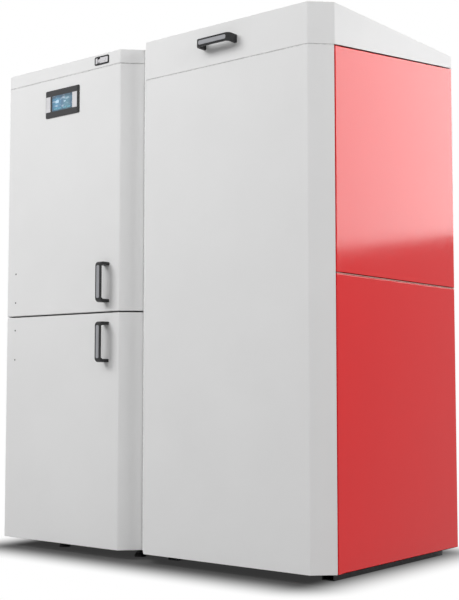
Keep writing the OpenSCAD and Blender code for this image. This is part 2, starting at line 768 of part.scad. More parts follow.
module front_frame() {
    z0 = base_h + 1;
    mid = 30;
    windows = [[base_h + 40, split_z - mid / 2], [split_z + mid / 2, frame_top_z - 45]];
    color(GREY) in_boiler() difference() {
        union() {
            box([2, frame_plate_y, z0], [boiler_w - 2, frame_plate_y + frame_t, frame_top_z]);
            for (w = windows) box([frame_side - 2, frame_plate_y, w[0] - 2],
                [boiler_w - frame_side + 2, frame_plate_y + frame_return, w[1] + 2]);
        }
        for (w = windows) box([frame_side, frame_plate_y - 1, w[0]],
            [boiler_w - frame_side, frame_plate_y + frame_return + 1, w[1]]);
        for (x = rail_xs)
            box([x - 1, frame_plate_y + frame_t, base_h], [x + rail_w + 1, frame_plate_y + 20, vessel_z + 1]);
    }
}

// One hinge plate, with its pins up or down or both and its tab on the front frame; z is the
// plate's lower face, and tab_low and tab_high are the tab's ends below and above that face
hinge_tab_x = fold + 4;
hinge_plate_right = frame_side - 2;
module hinge_plate(z, pin_low, pin_high, tab_low, tab_high) {
    pin_y = door_d - door_pin_inset;
    box([2.5, pin_y - door_pin_inset, z], [hinge_plate_right, frame_y - 0.6, z + hinge_plate_t]);
    box([hinge_tab_x, pin_y, z], [hinge_plate_right, frame_plate_y, z + hinge_plate_t]);
    box([hinge_tab_x, frame_plate_y - 2, z - tab_low], [hinge_plate_right, frame_plate_y, z + tab_high]);
    translate([door_pin_inset, pin_y, pin_low]) cylinder(r = door_pin_r, h = pin_high - pin_low);
}

module door_hinge_plates() {
    low_z = base_h - 2 - hinge_plate_t;
    mid_z = split_z - hinge_plate_t / 2;
    pin_in = door_pin_deep - 2;
    color(ZINC) in_boiler() {
        hinge_plate(low_z, low_z, base_h + pin_in, 0, 40);
        hinge_plate(mid_z, split_z - split_gap / 2 - pin_in, split_z + split_gap / 2 + pin_in, 16, 19);
        hinge_plate(band_z, band_z - door_top_gap - pin_in, band_z + hinge_plate_t, 30, 0);
    }
}

magnet_w = 14;
magnet_h = 44;
module door_magnets() {
    rows = [base_h + 120, split_z - 90, split_z + 90, band_z - 130];
    x1 = boiler_w - door_fold - 2;
    color(BLACK) in_boiler() for (z = rows)
        box([x1 - magnet_w, door_d - sheet + 0.5, z], [x1, frame_plate_y, z + magnet_h]);
}

upper_panel_z = panel_split_z + panel_gap / 2;
lower_panel_top = panel_split_z - panel_gap / 2;
module left_side_panels() {
    color(RED) in_boiler() {
        folded_panel(frame_y, cabinet_d, upper_panel_z, panel_top_z, panel_top_z, frame_relief);
        folded_panel(frame_y, cabinet_d, base_h, lower_panel_top, lower_panel_top, frame_relief);
    }
}

module boiler_right_panel() {
    color(GREY) in_boiler() difference() {
        translate([boiler_w, 0, 0]) mirror([1, 0, 0])
            folded_panel(frame_y, cabinet_d, base_h, panel_top_z, panel_top_z, frame_relief);
        rod_x(boiler_w - 5, auger_y, auger_z, feed_tube_r + feed_tube_t + 2, 10);
    }
}

// One rear panel for each cabinet
louvre_pitch = 18;
louvre_h = 6;
module rear_panels() {
    color(GREY) in_boiler() difference() {
        box([2, rear_panel_y, base_h + 2], [boiler_w - 2, rear_panel_y + sheet, panel_top_z - 1]);
        rod_y(vessel_mid_x, rear_panel_y - 1, flue_z, spigot_r + 2, 5);
        for (s = water_sockets) rod_y(s[0], rear_panel_y - 1, s[1], s[2] + socket_wall + 2, 5);
        for (x = gland_xs) rod_y(x, rear_panel_y - 1, gland_z, gland_r, 5);
        for (i = [0:7]) let (z = base_h + 180 + i * louvre_pitch)
            box([60, rear_panel_y - 1, z], [150, rear_panel_y + 5, z + louvre_h]);
    }
    color(GREY) in_hopper()
        box([2, rear_panel_y, base_h + 2], [hopper_w - 2, rear_panel_y + sheet, joint_z(rear_panel_y) - 2.5]);
}
gland_xs = [80, 120];
gland_z = case_top - 150;
gland_r = 10;
gland_bore_r = 5;
gland_nut_r = 13;

module boiler_top_cover() {
    color(GREY) in_boiler() difference() {
        translate([0, 0, band_z]) linear_extrude(band_h)
            polygon(plan_points(boiler_w, cabinet_d, chamfer, 0));
        translate([0, 0, band_z - 1]) linear_extrude(band_h - sheet + 1)
            polygon(plan_points(boiler_w, cabinet_d, chamfer, sheet));
        box([window_x - window_w / 2 + 3, -1, window_z - window_h / 2 + 3],
            [window_x + window_w / 2 - 3, 5, window_z + window_h / 2 - 3]);
    }
}

control_d = 180;
control_h = 75;
module control_box() {
    y = jacket_front + 10;
    color(DARK) in_boiler() {
        box([jacket_x + 20, y, jacket_top], [jacket_right - 20, y + control_d, jacket_top + control_h]);
        box([jacket_x + 40, y - 6, jacket_top + 10], [jacket_right - 40, y, jacket_top + control_h - 10]);
    }
}

module cable_glands() {
    color(BLACK) in_boiler() for (x = gland_xs) difference() {
        union() {
            rod_y(x, rear_panel_y - 12, gland_z, gland_r - 0.5, 34);
            translate([x, rear_panel_y + sheet, gland_z]) rotate([-90, 0, 0])
                cylinder(r = gland_nut_r, h = 8, $fn = 6);
            translate([x, rear_panel_y, gland_z]) rotate([90, 0, 0])
                cylinder(r = gland_nut_r, h = 6, $fn = 6);
        }
        rod_y(x, rear_panel_y - 13, gland_z, gland_bore_r, 36);
    }
}

// Switches in the top cover's front

module switch_housing() {
    color(BLACK) in_boiler() difference() {
        union() {
            translate([window_x, -bezel_proud, window_z]) rotate([-90, 0, 0])
                linear_extrude(bezel_proud) round_rect(window_w, window_h, 5);
            box([window_x - window_w / 2 + 3.2, -0.5, window_z - window_h / 2 + 3.2],
                [window_x + window_w / 2 - 3.2, 22, window_z + window_h / 2 - 3.2]);
        }
        box([rocker_x - rocker_w / 2 - 0.3, -3, window_z - rocker_r - 0.4],
            [rocker_x + rocker_w / 2 + 0.3, 20, window_z + rocker_r + 0.4]);
        rod_x(rocker_x - rocker_w / 2 - 3, rocker_y, window_z, 1.5 + fit_gap, rocker_w + 6);
        rod_y(button_x, -3, window_z, button_r + fit_gap, 20);
    }
}

module mains_rocker() {
    color(PALE) in_boiler() difference() {
        union() {
            rod_x(rocker_x - rocker_w / 2, rocker_y, window_z, rocker_r, rocker_w);
            rod_x(rocker_x - rocker_w / 2 - 2.5, rocker_y, window_z, 1.5, rocker_w + 5);
        }
        translate([0, rocker_y, window_z]) rotate([-10, 0, 0])
            box([rocker_x - rocker_w, -rocker_r - 5, 1],
                [rocker_x + rocker_w, -rocker_r + 2.2, rocker_r + 3]);
    }
}

module reset_button() {
    color(PALE) in_boiler() {
        rod_y(button_x, -bezel_proud - button_travel, window_z, button_r, button_travel + 14);
        rod_y(button_x, 8.5 + 2, window_z, button_r - 1, 2);
    }
}

// Doors

module door_shell(h) {
    w = boiler_w;
    axis = [door_pin_inset, door_d - door_pin_inset];
    difference() {
        union() {
            difference() {
                linear_extrude(h) polygon(door_points(w, door_d, chamfer, corner_cut, 0));
                translate([0, 0, sheet]) linear_extrude(h - 2 * sheet)
                    polygon(door_points(w, door_d, chamfer, corner_cut, sheet));
                box([door_fold, door_d - sheet - 1, door_fold], [w - door_fold, door_d + 1, h - door_fold]);
            }
            for (z = [0, h - door_pin_deep - 4]) translate([axis[0], axis[1], z])
                cylinder(r = door_boss_r, h = door_pin_deep + 4);
        }
        for (z = [-1, h - door_pin_deep]) translate([axis[0], axis[1], z])
            cylinder(r = pin_bore_r, h = door_pin_deep + 1);
    }
}

// The lining board lies behind the door's side folds, between the hinge bosses
module door_lining(z, h) {
    lap = 8;
    ends = door_pin_deep + 5;
    box([door_fold - lap, door_d - sheet - door_lining_t, z + ends],
        [boiler_w - door_fold + lap, door_d - sheet, z + h - ends]);
}

module upper_door() {
    color(GREY) in_boiler() difference() {
        translate([0, 0, upper_door_z]) door_shell(upper_door_h);
        box([boiler_w / 2 - display_w / 2 + 5, -1, display_z - display_h / 2 + 5],
            [boiler_w / 2 + display_w / 2 - 5, 10, display_z + display_h / 2 - 5]);
    }
}

module upper_door_lining() { color(ZINC) in_boiler() door_lining(upper_door_z, upper_door_h); }

module lower_door() {
    color(GREY) in_boiler() translate([0, 0, base_h]) door_shell(lower_door_h);
}

module lower_door_lining() { color(ZINC) in_boiler() door_lining(base_h, lower_door_h); }

// A bow handle along X, with its feet on y = 0 and its middle at x = 0, z = 0
inlay_deep = 0.8;
module bow_handle() {
    inner_r = handle_corner_r / 2;
    spare = 2 * handle_corner_r;
    difference() {
        translate([0, 0, -handle_w / 2]) linear_extrude(handle_w) difference() {
            translate([0, spare / 2]) round_rect(handle_len, 2 * handle_reach + spare, handle_corner_r);
            translate([0, spare / 2]) round_rect(handle_len - 2 * handle_t,
                2 * (handle_reach - handle_t) + spare, inner_r);
            translate([-handle_len, 0]) square([2 * handle_len, 2 * handle_reach + spare]);
        }
        translate([0, -handle_reach + inlay_deep, 0]) rotate([90, 0, 0]) linear_extrude(2) inlay_plan(0.2);
    }
}

// The inlay's outline, a bar with round ends, grown by e
module inlay_plan(e) {
    r = inlay_w / 2 + e;
    square([inlay_len - inlay_w, 2 * r], center = true);
    for (i = [-1, 1]) translate([i * (inlay_len - inlay_w) / 2, 0]) circle(r = r);
}

module handle_inlay() {
    translate([0, -handle_reach + inlay_deep, 0]) rotate([90, 0, 0])
        linear_extrude(inlay_deep + inlay_proud) inlay_plan(0);
}

module at_door_handle(side) {
    in_boiler() translate([handle_x, 0, split_z + side * handle_off]) rotate([0, 90, 0]) children();
}

module at_lid_handle() {
    in_hopper() translate([lid_handle_x, 0, case_top - lid_front_h / 2 + 3]) children();
}

module upper_door_handle() { color(BLACK) at_door_handle(1) bow_handle(); }
module upper_handle_inlay() { color(PALE) at_door_handle(1) handle_inlay(); }
module lower_door_handle() { color(BLACK) at_door_handle(-1) bow_handle(); }
module lower_handle_inlay() { color(PALE) at_door_handle(-1) handle_inlay(); }
module lid_handle() { color(BLACK) at_lid_handle() bow_handle(); }
module lid_handle_inlay() { color(PALE) at_lid_handle() handle_inlay(); }

display_proud = 3;
display_body = 30;
screen_t = 1.2;
display_z = case_top - display_down;
module at_display() {
    in_boiler() translate([boiler_w / 2, 0, display_z]) rotate([90, 0, 0]) children();
}

module display_frame() {
    color(BLACK) at_display() difference() {
        union() {
            linear_extrude(display_proud) round_rect(display_w, display_h, 4);
            translate([-display_w / 2 + 5.5, -display_h / 2 + 5.5, -display_body])
                cube([display_w - 11, display_h - 11, display_body + 1]);
        }
        translate([-screen_w / 2 - 1, -screen_h / 2 - 1, display_proud - screen_t])
            cube([screen_w + 2, screen_h + 2, screen_t + 1]);
    }
}

module display_screen() {
    color(SCREEN) at_display() translate([-screen_w / 2 - 0.8, -screen_h / 2 - 0.8, display_proud - screen_t])
        cube([screen_w + 1.6, screen_h + 1.6, screen_t - 0.1]);
}

// Hopper cabinet

skid_inset = 53;
skid_w = 40;
skid_front = 113;
post_w = 24;
post_relief = post_w + 6;
floor_t = 3;
module hopper_frame() {
    rail_x = [skid_inset, hopper_w - skid_inset - skid_w];
    color(DARK) in_hopper() {
        for (x = rail_x) difference() {
            box([x, skid_front, 0], [x + skid_w, cabinet_d - 6, base_h]);
            box([x + 3, skid_front - 1, 3], [x + skid_w - 3, cabinet_d, base_h - 3]);
        }
        box([fold + 4, 58, base_h], [hopper_w - fold - 4, rear_panel_y - 1, base_h + floor_t]);
        difference() {
            for (x = [3, hopper_w - 3 - post_w], y = [60, rear_panel_y - post_w - 0.5])
                box([x, y, base_h + floor_t - 1], [x + post_w, y + post_w, case_top]);
            box([-1, 50, base_h - 1], [fold + 4, cabinet_d, base_h + 2.5]);
            box([hopper_w - fold - 4, 50, base_h - 1], [hopper_w + 1, cabinet_d, base_h + 2.5]);
            box([6, 63, base_h + floor_t + 2], [hopper_w - 6, rear_panel_y - 3.5, case_top + 1]);
            above_joint(-rim_low);
        }
    }
}

// Everything above the lid's joint, moved up by e
module above_joint(e) {
    back = cabinet_d + 20;
    along_x(-5, hopper_w + 10) polygon([[-5, joint_z(-5) + e], [chamfer, joint_z(chamfer) + e],
        [back, joint_z(back) + e], [back, case_top + 100], [-5, case_top + 100]]);
}

// A slice that follows the lid's joint, from low to high above it
module joint_slice(low, high) {
    back = cabinet_d + 5;
    along_x(-5, hopper_w + 10) polygon([[-5, joint_z(-5) + low], [chamfer, joint_z(chamfer) + low],
        [back, joint_z(back) + low], [back, joint_z(back) + high], [chamfer, joint_z(chamfer) + high],
        [-5, joint_z(-5) + high]]);
}

module hopper_front_panel() {
    w = hopper_w;
    c = chamfer;
    t = sheet;
    color(GREY) in_hopper() difference() {
        translate([0, 0, base_h]) linear_extrude(cabinet_h) difference() {
            polygon([[0, c], [c, 0], [w - c, 0], [w, c]]);
            polygon([[t * (1 + sqrt(2)), c - t], [c + t * (sqrt(2) - 1), t],
                [w - c - t * (sqrt(2) - 1), t], [w - t * (1 + sqrt(2)), c - t]]);
            translate([fold, c - 2 * t]) square([w - 2 * fold, 3 * t]);
        }
        above_joint(0);
    }
}

panel_front = chamfer + 3.5;
module hopper_left_panel() {
    color(GREY) in_hopper() difference() {
        folded_panel(panel_front, cabinet_d, base_h, joint_z(panel_front), joint_z(cabinet_d), post_relief);
        rod_x(-5, auger_y, auger_z, feed_tube_r + feed_tube_t + 2, 10);
    }
}

module right_side_panels() {
    color(RED) in_hopper() translate([hopper_w, 0, 0]) mirror([1, 0, 0]) {
        folded_panel(panel_front, cabinet_d, upper_panel_z, joint_z(panel_front), joint_z(cabinet_d),
            post_relief);
        folded_panel(panel_front, cabinet_d, base_h, lower_panel_top, lower_panel_top, post_relief);
    }
}

rim_low = 4.5;
rim_high = 2.5;
module bin_profile(e) {
    r = trough_r + bin_t - e;
    polygon([[bin_y + e, case_top + 10], [bin_y + e, slope_top], [auger_y - r, auger_z],
        [auger_y + r, auger_z], [bin_back - e, auger_z + 60], [bin_back - e, case_top + 10]]);
    translate([auger_y, auger_z]) circle(r = r);
}

module hopper_bin() {
    color(ZINC) in_hopper() {
        difference() {
            union() {
                along_x(bin_x, bin_right - bin_x) bin_profile(0);
                rod_x(bin_right - 1, auger_y, auger_z, 20, 15);
            }
            along_x(bin_x + bin_t, bin_right - bin_x - 2 * bin_t) bin_profile(bin_t);
            rod_x(bin_x - 1, auger_y, auger_z, feed_tube_r, bin_t + 2);
            rod_x(bin_right - bin_t - 1, auger_y, auger_z, shaft_r + fit_gap, 30);
            above_joint(-rim_high - 0.5);
        }
        difference() {
            intersection() {
                linear_extrude(case_top + 20) polygon(plan_points(hopper_w, rear_panel_y, chamfer, 2));
                joint_slice(-rim_low, -rim_high);
            }
            box([bin_x + bin_t, bin_y + bin_t, base_h], [bin_right - bin_t, bin_back - bin_t, case_top + 30]);
            for (x = [0, hopper_w - fold - 0.5]) box([x, chamfer - sheet - 0.5, base_h],
                [x + fold + 0.5, panel_front + sheet + 0.5, case_top]);
        }
    }
}

feed_tube_end = hopper_x - boiler_x + bin_x;
module feed_tube() {
    len = feed_tube_end - feed_tube_left;
    outlet = auger_z - hose_top_z;
    color(ZINC) in_boiler() difference() {
        union() {
            rod_x(feed_tube_left, auger_y, auger_z, feed_tube_r + feed_tube_t, len);
            translate([drop_x, auger_y, hose_top_z]) cylinder(r = hose_r + hose_wall, h = outlet);
        }
        rod_x(feed_tube_left - 1, auger_y, auger_z, feed_tube_r, len + 2);
        translate([drop_x, auger_y, hose_top_z - 1]) cylinder(r = hose_r, h = outlet + 1);
    }
}

// A spiral flight round the shaft: a ring of four points is carried along X and turned
flight_t = 3;
flight_steps = 12;
function flight_point(a, x, r) = [x, r * cos(a), r * sin(a)];
module flight(x0, x1) {
    n = floor((x1 - x0) / flight_pitch * flight_steps);
    inner = shaft_r - 1;
    pts = [for (i = [0:n]) let (a = 360 * i / flight_steps, x = x0 + flight_pitch * i / flight_steps)
        each [flight_point(a, x, inner), flight_point(a, x, flight_r),
            flight_point(a, x + flight_t, flight_r), flight_point(a, x + flight_t, inner)]];
    sides = [for (i = [0:n - 1], j = [0:3]) let (a = 4 * i + j, b = 4 * i + (j + 1) % 4)
        each [[a, b, b + 4], [a, b + 4, a + 4]]];
    polyhedron(concat(pts), concat(sides, [[3, 2, 1], [3, 1, 0], [4 * n, 4 * n + 1, 4 * n + 2],
        [4 * n, 4 * n + 2, 4 * n + 3]]), convexity = 20);
}

auger_right = hopper_x - boiler_x + bin_right + 8;
module feed_auger() {
    color(ZINC) in_boiler() translate([0, auger_y, auger_z]) {
        translate([auger_left, 0, 0]) rotate([0, 90, 0]) cylinder(r = shaft_r, h = auger_right - auger_left);
        flight(feed_tube_left + 12, auger_right - 8 - bin_t - 12);
    }
}

module feed_motor() {
    color(DARK) in_boiler() difference() {
        union() {
            box([feed_tube_left - feed_motor_len, auger_y - feed_motor_half, auger_z - feed_motor_half],
                [feed_tube_left, auger_y + feed_motor_half, auger_z + feed_motor_half]);
            rod_x(feed_tube_left - feed_motor_len - 35, auger_y, auger_z, 36, 36);
        }
        rod_x(auger_left - 2, auger_y, auger_z, shaft_r + fit_gap, 60);
    }
}

// Lid and its hinges

lid_hinge_mids = [lid_hinge_inset, hopper_w - lid_hinge_inset];
module lid_hinge_brackets() {
    third = lid_hinge_w / 3;
    leaf_y = rear_panel_y + sheet;
    color(ZINC) in_hopper() for (m = lid_hinge_mids) {
        box([m - lid_hinge_w / 2, leaf_y, lid_pin_z - 50],
            [m + lid_hinge_w / 2, leaf_y + hinge_leaf_t, lid_pin_z - 8]);
        for (i = [-1, 1]) {
            x0 = m + i * (lid_hinge_w / 2 - third / 2) - third / 2;
            rod_x(x0, lid_pin_y, lid_pin_z, knuckle_r, third);
            box([x0, leaf_y, lid_pin_z - 12], [x0 + third, leaf_y + hinge_leaf_t, lid_pin_z - 3]);
            box([x0, cabinet_d, lid_pin_z - knuckle_r], [x0 + third, lid_pin_y, lid_pin_z - 2]);
        }
        rod_x(m - lid_hinge_w / 2, lid_pin_y, lid_pin_z, lid_pin_r, lid_hinge_w);
    }
}

module lid_hinge_leaves() {
    third = lid_hinge_w / 3;
    color(ZINC) in_hopper() for (m = lid_hinge_mids) {
        x0 = m - third / 2 + knuckle_gap;
        x1 = m + third / 2 - knuckle_gap;
        difference() {
            union() {
                box([m - lid_hinge_w / 2, cabinet_d, lid_pin_z + 7],
                    [m + lid_hinge_w / 2, cabinet_d + 2, lid_pin_z + 32]);
                box([x0, cabinet_d, lid_pin_z + 2], [x1, lid_pin_y, lid_pin_z + knuckle_r]);
                box([x0, cabinet_d, lid_pin_z + 2], [x1, cabinet_d + 2, lid_pin_z + 8]);
                rod_x(x0, lid_pin_y, lid_pin_z, knuckle_r, x1 - x0);
            }
            rod_x(m - lid_hinge_w, lid_pin_y, lid_pin_z, lid_pin_r + fit_gap, 2 * lid_hinge_w);
        }
    }
}

module hopper_lid() {
    color(GREY) in_hopper() difference() {
        intersection() {
            linear_extrude(case_top) polygon(plan_points(hopper_w, cabinet_d, chamfer, 0));
            above_joint(lid_gap);
        }
        linear_extrude(case_top - sheet) polygon(plan_points(hopper_w, cabinet_d, chamfer, sheet));
    }
}

module lid_lining() {
    color(ZINC) in_hopper() intersection() {
        linear_extrude(case_top) polygon(plan_points(hopper_w, cabinet_d, chamfer, sheet));
        joint_slice(lid_gap, lid_gap + sheet);
    }
}

gasket_w = 10;
gasket_in = fold + 4;
module lid_gasket() {
    color(BLACK) in_hopper() intersection() {
        difference() {
            box([gasket_in, 46, base_h], [hopper_w - gasket_in, cabinet_d - 14, case_top]);
            box([gasket_in + gasket_w, 46 + gasket_w, base_h - 1],
                [hopper_w - gasket_in - gasket_w, cabinet_d - 14 - gasket_w, case_top + 1]);
        }
        joint_slice(-rim_high + 0.3, lid_gap);
    }
}

boiler_rails();
boiler_feet();
vessel_shell();
firebox();
smoke_tubes();
smoke_chamber();
vessel_insulation();
cleaning_hatch();
combustion_door();
combustion_door_lining();
hatch_knobs();
ash_box();
turbulator_rack();
cleaning_shaft();
cleaning_motor();
flue_box();
flue_fan_rotor();
flue_fan_motor();
burner();
burner_blower();
blower_wheel();
igniter();
feed_hose();
front_frame();
door_hinge_plates();
door_magnets();
left_side_panels();
boiler_right_panel();
rear_panels();
boiler_top_cover();
control_box();
cable_glands();
switch_housing();
mains_rocker();
reset_button();
upper_door();
upper_door_lining();
upper_door_handle();
upper_handle_inlay();
display_frame();
display_screen();
lower_door();
lower_door_lining();
lower_door_handle();
lower_handle_inlay();
hopper_frame();
hopper_front_panel();
hopper_left_panel();
right_side_panels();
hopper_bin();
feed_tube();
feed_auger();
feed_motor();
lid_hinge_brackets();
hopper_lid();
lid_lining();
lid_gasket();
lid_hinge_leaves();
lid_handle();
lid_handle_inlay();
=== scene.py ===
# Dresses the pellet boiler's fixed frame: painted casings, handles, display, switches, finishes
# and a plain studio. Lengths are in metres.
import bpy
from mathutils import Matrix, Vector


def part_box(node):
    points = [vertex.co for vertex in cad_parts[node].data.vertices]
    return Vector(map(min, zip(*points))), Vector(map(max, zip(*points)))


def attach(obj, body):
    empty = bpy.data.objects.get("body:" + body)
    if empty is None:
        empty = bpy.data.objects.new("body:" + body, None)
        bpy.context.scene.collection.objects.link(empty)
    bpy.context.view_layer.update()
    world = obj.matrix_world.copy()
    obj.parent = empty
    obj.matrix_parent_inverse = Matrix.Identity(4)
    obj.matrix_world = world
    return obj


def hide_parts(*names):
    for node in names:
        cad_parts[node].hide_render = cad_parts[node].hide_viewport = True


bl_info = {
    "name": "Pellet boiler",
    "version": (1, 0, 0),
    "blender": (4, 5, 0),
    "location": "View3D > Sidebar > Boiler",
    "description": "Builds the visible pieces of a pellet boiler round its fixed frame",
    "category": "Object",
}

import math
from contextlib import contextmanager
from functools import partial

import bmesh
import bpy
from bpy.props import FloatProperty, FloatVectorProperty, IntProperty, PointerProperty
from mathutils import Matrix, Vector

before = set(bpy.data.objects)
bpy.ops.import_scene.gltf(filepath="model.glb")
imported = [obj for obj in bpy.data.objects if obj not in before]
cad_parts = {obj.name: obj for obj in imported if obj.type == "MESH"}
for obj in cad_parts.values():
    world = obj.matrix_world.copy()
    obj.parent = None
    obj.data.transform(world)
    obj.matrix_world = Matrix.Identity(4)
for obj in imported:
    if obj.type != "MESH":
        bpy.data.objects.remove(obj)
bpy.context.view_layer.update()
MM = 0.001
ALONG_Y = Vector((0, 1, 0))
ALONG_Z = Vector((0, 0, 1))


def from_screen(red, green, blue):
    """Turns a colour as seen on a screen, 0 to 255, into linear light."""
    def linear(value):
        value /= 255
        return value / 12.92 if value <= 0.04045 else ((value + 0.055) / 1.055) ** 2.4
    return (linear(red), linear(green), linear(blue))


# Settings

def length(name, text, default, high=1.0):
    """A length that the user can change."""
    return FloatProperty(
        name=name, description=text, default=default, min=0.0, max=high, unit="LENGTH", precision=4)


def colour(name, text, default):
    """A colour that the user can change."""
    return FloatVectorProperty(
        name=name, description=text, default=default, size=3, min=0.0, max=1.0, subtype="COLOR")


class BoilerSizes(bpy.types.PropertyGroup):
    """Sizes of the visible details."""
    sheet: length("Sheet", "Thickness of the casing's sheet", 1.5 * MM)
    front_bend: length("Front bend", "Half width of the soft bend at a cut-off corner", 3.2 * MM)
    fold_bend: length("Fold bend", "Half width of the bend at a square folded edge", 1.6 * MM)
    side_bend: length("Side bend", "Half width of the bend at a red panel's edge", 2.8 * MM)
    bend_steps: IntProperty(
        name="Bend steps", description="Facets across a bend", default=4, min=1, max=8)
    grip_thick: length("Handle thickness", "Thickness of a handle's legs", 10 * MM)
    grip_round: length("Grip rounding", "Radius of the handle section's corners", 1.8 * MM)
    grip_thin: length("Grip thinning", "How much thinner a grip is than its legs", 3.5 * MM)
    grip_corner: length("Handle corner", "Outer radius where a handle's grip meets its legs", 13 * MM)
    strip_length: length("Strip length", "Length of a handle's light strip", 103 * MM)
    strip_width: length("Strip width", "Width of a handle's light strip", 12.6 * MM)
    strip_corner: length("Strip corner", "Corner radius of a handle's light strip", 4.5 * MM)
    strip_gap: length("Strip gap", "Gap round a handle's light strip", 0.25 * MM)
    insert_gap: length("Insert gap", "Gap round the display's pale inserts", 0.35 * MM)
    side_split: length(
        "Side split", "Height of the joint between the red panels of a side", 845 * MM, 2.0)
    plug_radius: length("Plug radius", "Radius of the blank plugs in the doors", 2.6 * MM)
    plug_proud: length("Plug height", "Height of the blank plugs over the door", 0.9 * MM)
    screw_radius: length("Screw radius", "Radius of a casing screw's head", 4.0 * MM)
    screw_proud: length("Screw height", "Height of a casing screw's head", 2.2 * MM)


class BoilerColours(bpy.types.PropertyGroup):
    """Colours of the visible finishes."""
    light_paint: colour("Light paint", "Doors, covers and hopper front", from_screen(231, 231, 231))
    red_paint: colour("Red paint", "Side panels", from_screen(234, 16, 22))
    black: colour("Black moulding", "Handles, switch window and glands", from_screen(20, 20, 22))
    charcoal: colour("Charcoal face", "Display frame and plugs", from_screen(48, 48, 50))
    pale: colour("Pale moulding", "Inserts, rocker and button", from_screen(214, 213, 216))
    strip: colour("Handle strip", "Light strips in the handles", from_screen(152, 153, 157))
    zinc: colour("Zinc", "Galvanised sheet", (0.52, 0.54, 0.56))
    steel: colour("Bright steel", "Shafts, wheels and screws", (0.60, 0.60, 0.61))
    dark_primer: colour("Dark primer", "Rails, skids and frame", from_screen(48, 48, 50))
    vessel: colour("Vessel paint", "Heat-proof paint on the vessel", from_screen(70, 68, 66))
    cast_iron: colour("Cast iron", "Hatch and combustion door", from_screen(62, 61, 60))
    wool: colour("Jacket", "Face of the insulation jacket", from_screen(196, 188, 160))
    board: colour("Heat-proof board", "Lining of the combustion door", from_screen(196, 176, 140))
    hose: colour("Hose", "Drop hose to the burner", from_screen(150, 152, 154))
    motor: colour("Motor paint", "Motors and control box", from_screen(52, 54, 58))
    floor: colour("Floor", "Studio floor", (0.45, 0.45, 0.45))


def sizes():
    """The current sizes."""
    return bpy.context.scene.boiler_sizes


def colours():
    """The current colours."""
    return bpy.context.scene.boiler_colours


# Work by hand: selecting, editing and finishing

# Points this close are one point, and lie in one plane
NEAR = 0.01 * MM
# Edges that turn by more than this many radians are sharp
SHARP = 0.6
# The share of an edge's length that has to lie along an axis
ALIGNED = 0.9


def only(obj):
    """Selects one object alone."""
    bpy.ops.object.select_all(action="DESELECT")
    obj.hide_set(False)
    obj.select_set(True)
    bpy.context.view_layer.objects.active = obj


@contextmanager
def editing(obj, mode="EDGE"):
    """Opens an object in edit mode with nothing selected."""
    only(obj)
    bpy.ops.object.mode_set(mode="EDIT")
    bpy.ops.mesh.select_mode(type=mode)
    bpy.ops.mesh.select_all(action="DESELECT")
    try:
        yield
    finally:
        bpy.ops.object.mode_set(mode="OBJECT")


def pick(obj, kind, test):
    """Selects only the faces, edges or verts that pass a test, in edit mode."""
    bpy.ops.mesh.select_mode(type=kind[:-1].upper())
    bpy.ops.mesh.select_all(action="DESELECT")
    mesh = bmesh.from_edit_mesh(obj.data)
    mesh.normal_update()
    found = [element for element in getattr(mesh, kind) if test(element)]
    for element in found:
        element.select_set(True)
    mesh.select_flush_mode()
    bmesh.update_edit_mesh(obj.data)
    if not found:
        raise RuntimeError(f"{obj.name}: nothing to select")


def is_sharp(edge):
    """A test for edges where two faces meet at an angle."""
    return len(edge.link_faces) == 2 and edge.calc_face_angle(0) > SHARP


def level_with(y):
    """A test for edges that lie in the plane at one Y."""
    return lambda edge: all(abs(vert.co.y - y) < NEAR for vert in edge.verts)


def running(axis):
    """A test for edges that run along an axis."""
    def test(edge):
        run = edge.verts[0].co - edge.verts[1].co
        return abs(run.dot(axis)) > ALIGNED * run.length
    return test


def settle(name):
    """Names the new object and puts its place into its mesh."""
    obj = bpy.context.active_object
    obj.name = name
    obj.data.name = name
    bpy.ops.object.transform_apply(location=True, rotation=True, scale=True)
    return obj


def block(name, low, high):
    """A new block between two corners."""
    low = Vector(low)
    high = Vector(high)
    bpy.ops.object.select_all(action="DESELECT")
    bpy.ops.mesh.primitive_cube_add(size=1, location=(low + high) / 2, scale=high - low)
    return settle(name)


def disc(name, place, radius, depth, axis, sides=32):
    """A new round blank that stands along an axis, with its foot at a place."""
    bpy.ops.object.select_all(action="DESELECT")
    bpy.ops.mesh.primitive_cylinder_add(
        vertices=sides, radius=radius, depth=depth, rotation=axis.to_track_quat("Z", "Y").to_euler(),
        location=Vector(place) + axis * depth / 2)
    return settle(name)


def apply_modifier(obj, kind, **settings):
    """Adds a modifier with its settings and applies it."""
    only(obj)
    modifier = obj.modifiers.new(kind.lower(), kind)
    for key, value in settings.items():
        setattr(modifier, key, value)
    bpy.ops.object.modifier_apply(modifier=modifier.name)


def bevel_edges(obj, width, steps, test=is_sharp):
    """Rounds the edges that pass a test."""
    with editing(obj):
        pick(obj, "edges", test)
        bpy.ops.mesh.bevel(offset=width, offset_type="OFFSET", segments=steps)


def weld():
    """Joins double points, in edit mode, and leaves everything selected."""
    bpy.ops.mesh.select_all(action="SELECT")
    bpy.ops.mesh.remove_doubles(threshold=NEAR)
    bpy.ops.mesh.select_all(action="SELECT")


def tidy_normals(obj):
    """Joins double points and turns every face outwards."""
    with editing(obj):
        weld()
        bpy.ops.mesh.normals_make_consistent(inside=False)


def smooth(obj, angle):
    """Shades bends softly and keeps flat faces flat. The angle is in degrees."""
    only(obj)
    bpy.ops.object.shade_smooth_by_angle(angle=math.radians(angle))
    apply_modifier(obj, "WEIGHTED_NORMAL", keep_sharp=True)


def copy_piece(obj, name, move=(0, 0, 0)):
    """A copy with its own mesh, moved."""
    copy = obj.copy()
    copy.data = obj.data.copy()
    copy.name = name
    copy.data.name = name
    bpy.context.scene.collection.objects.link(copy)
    copy.data.transform(Matrix.Translation(Vector(move)))
    return copy


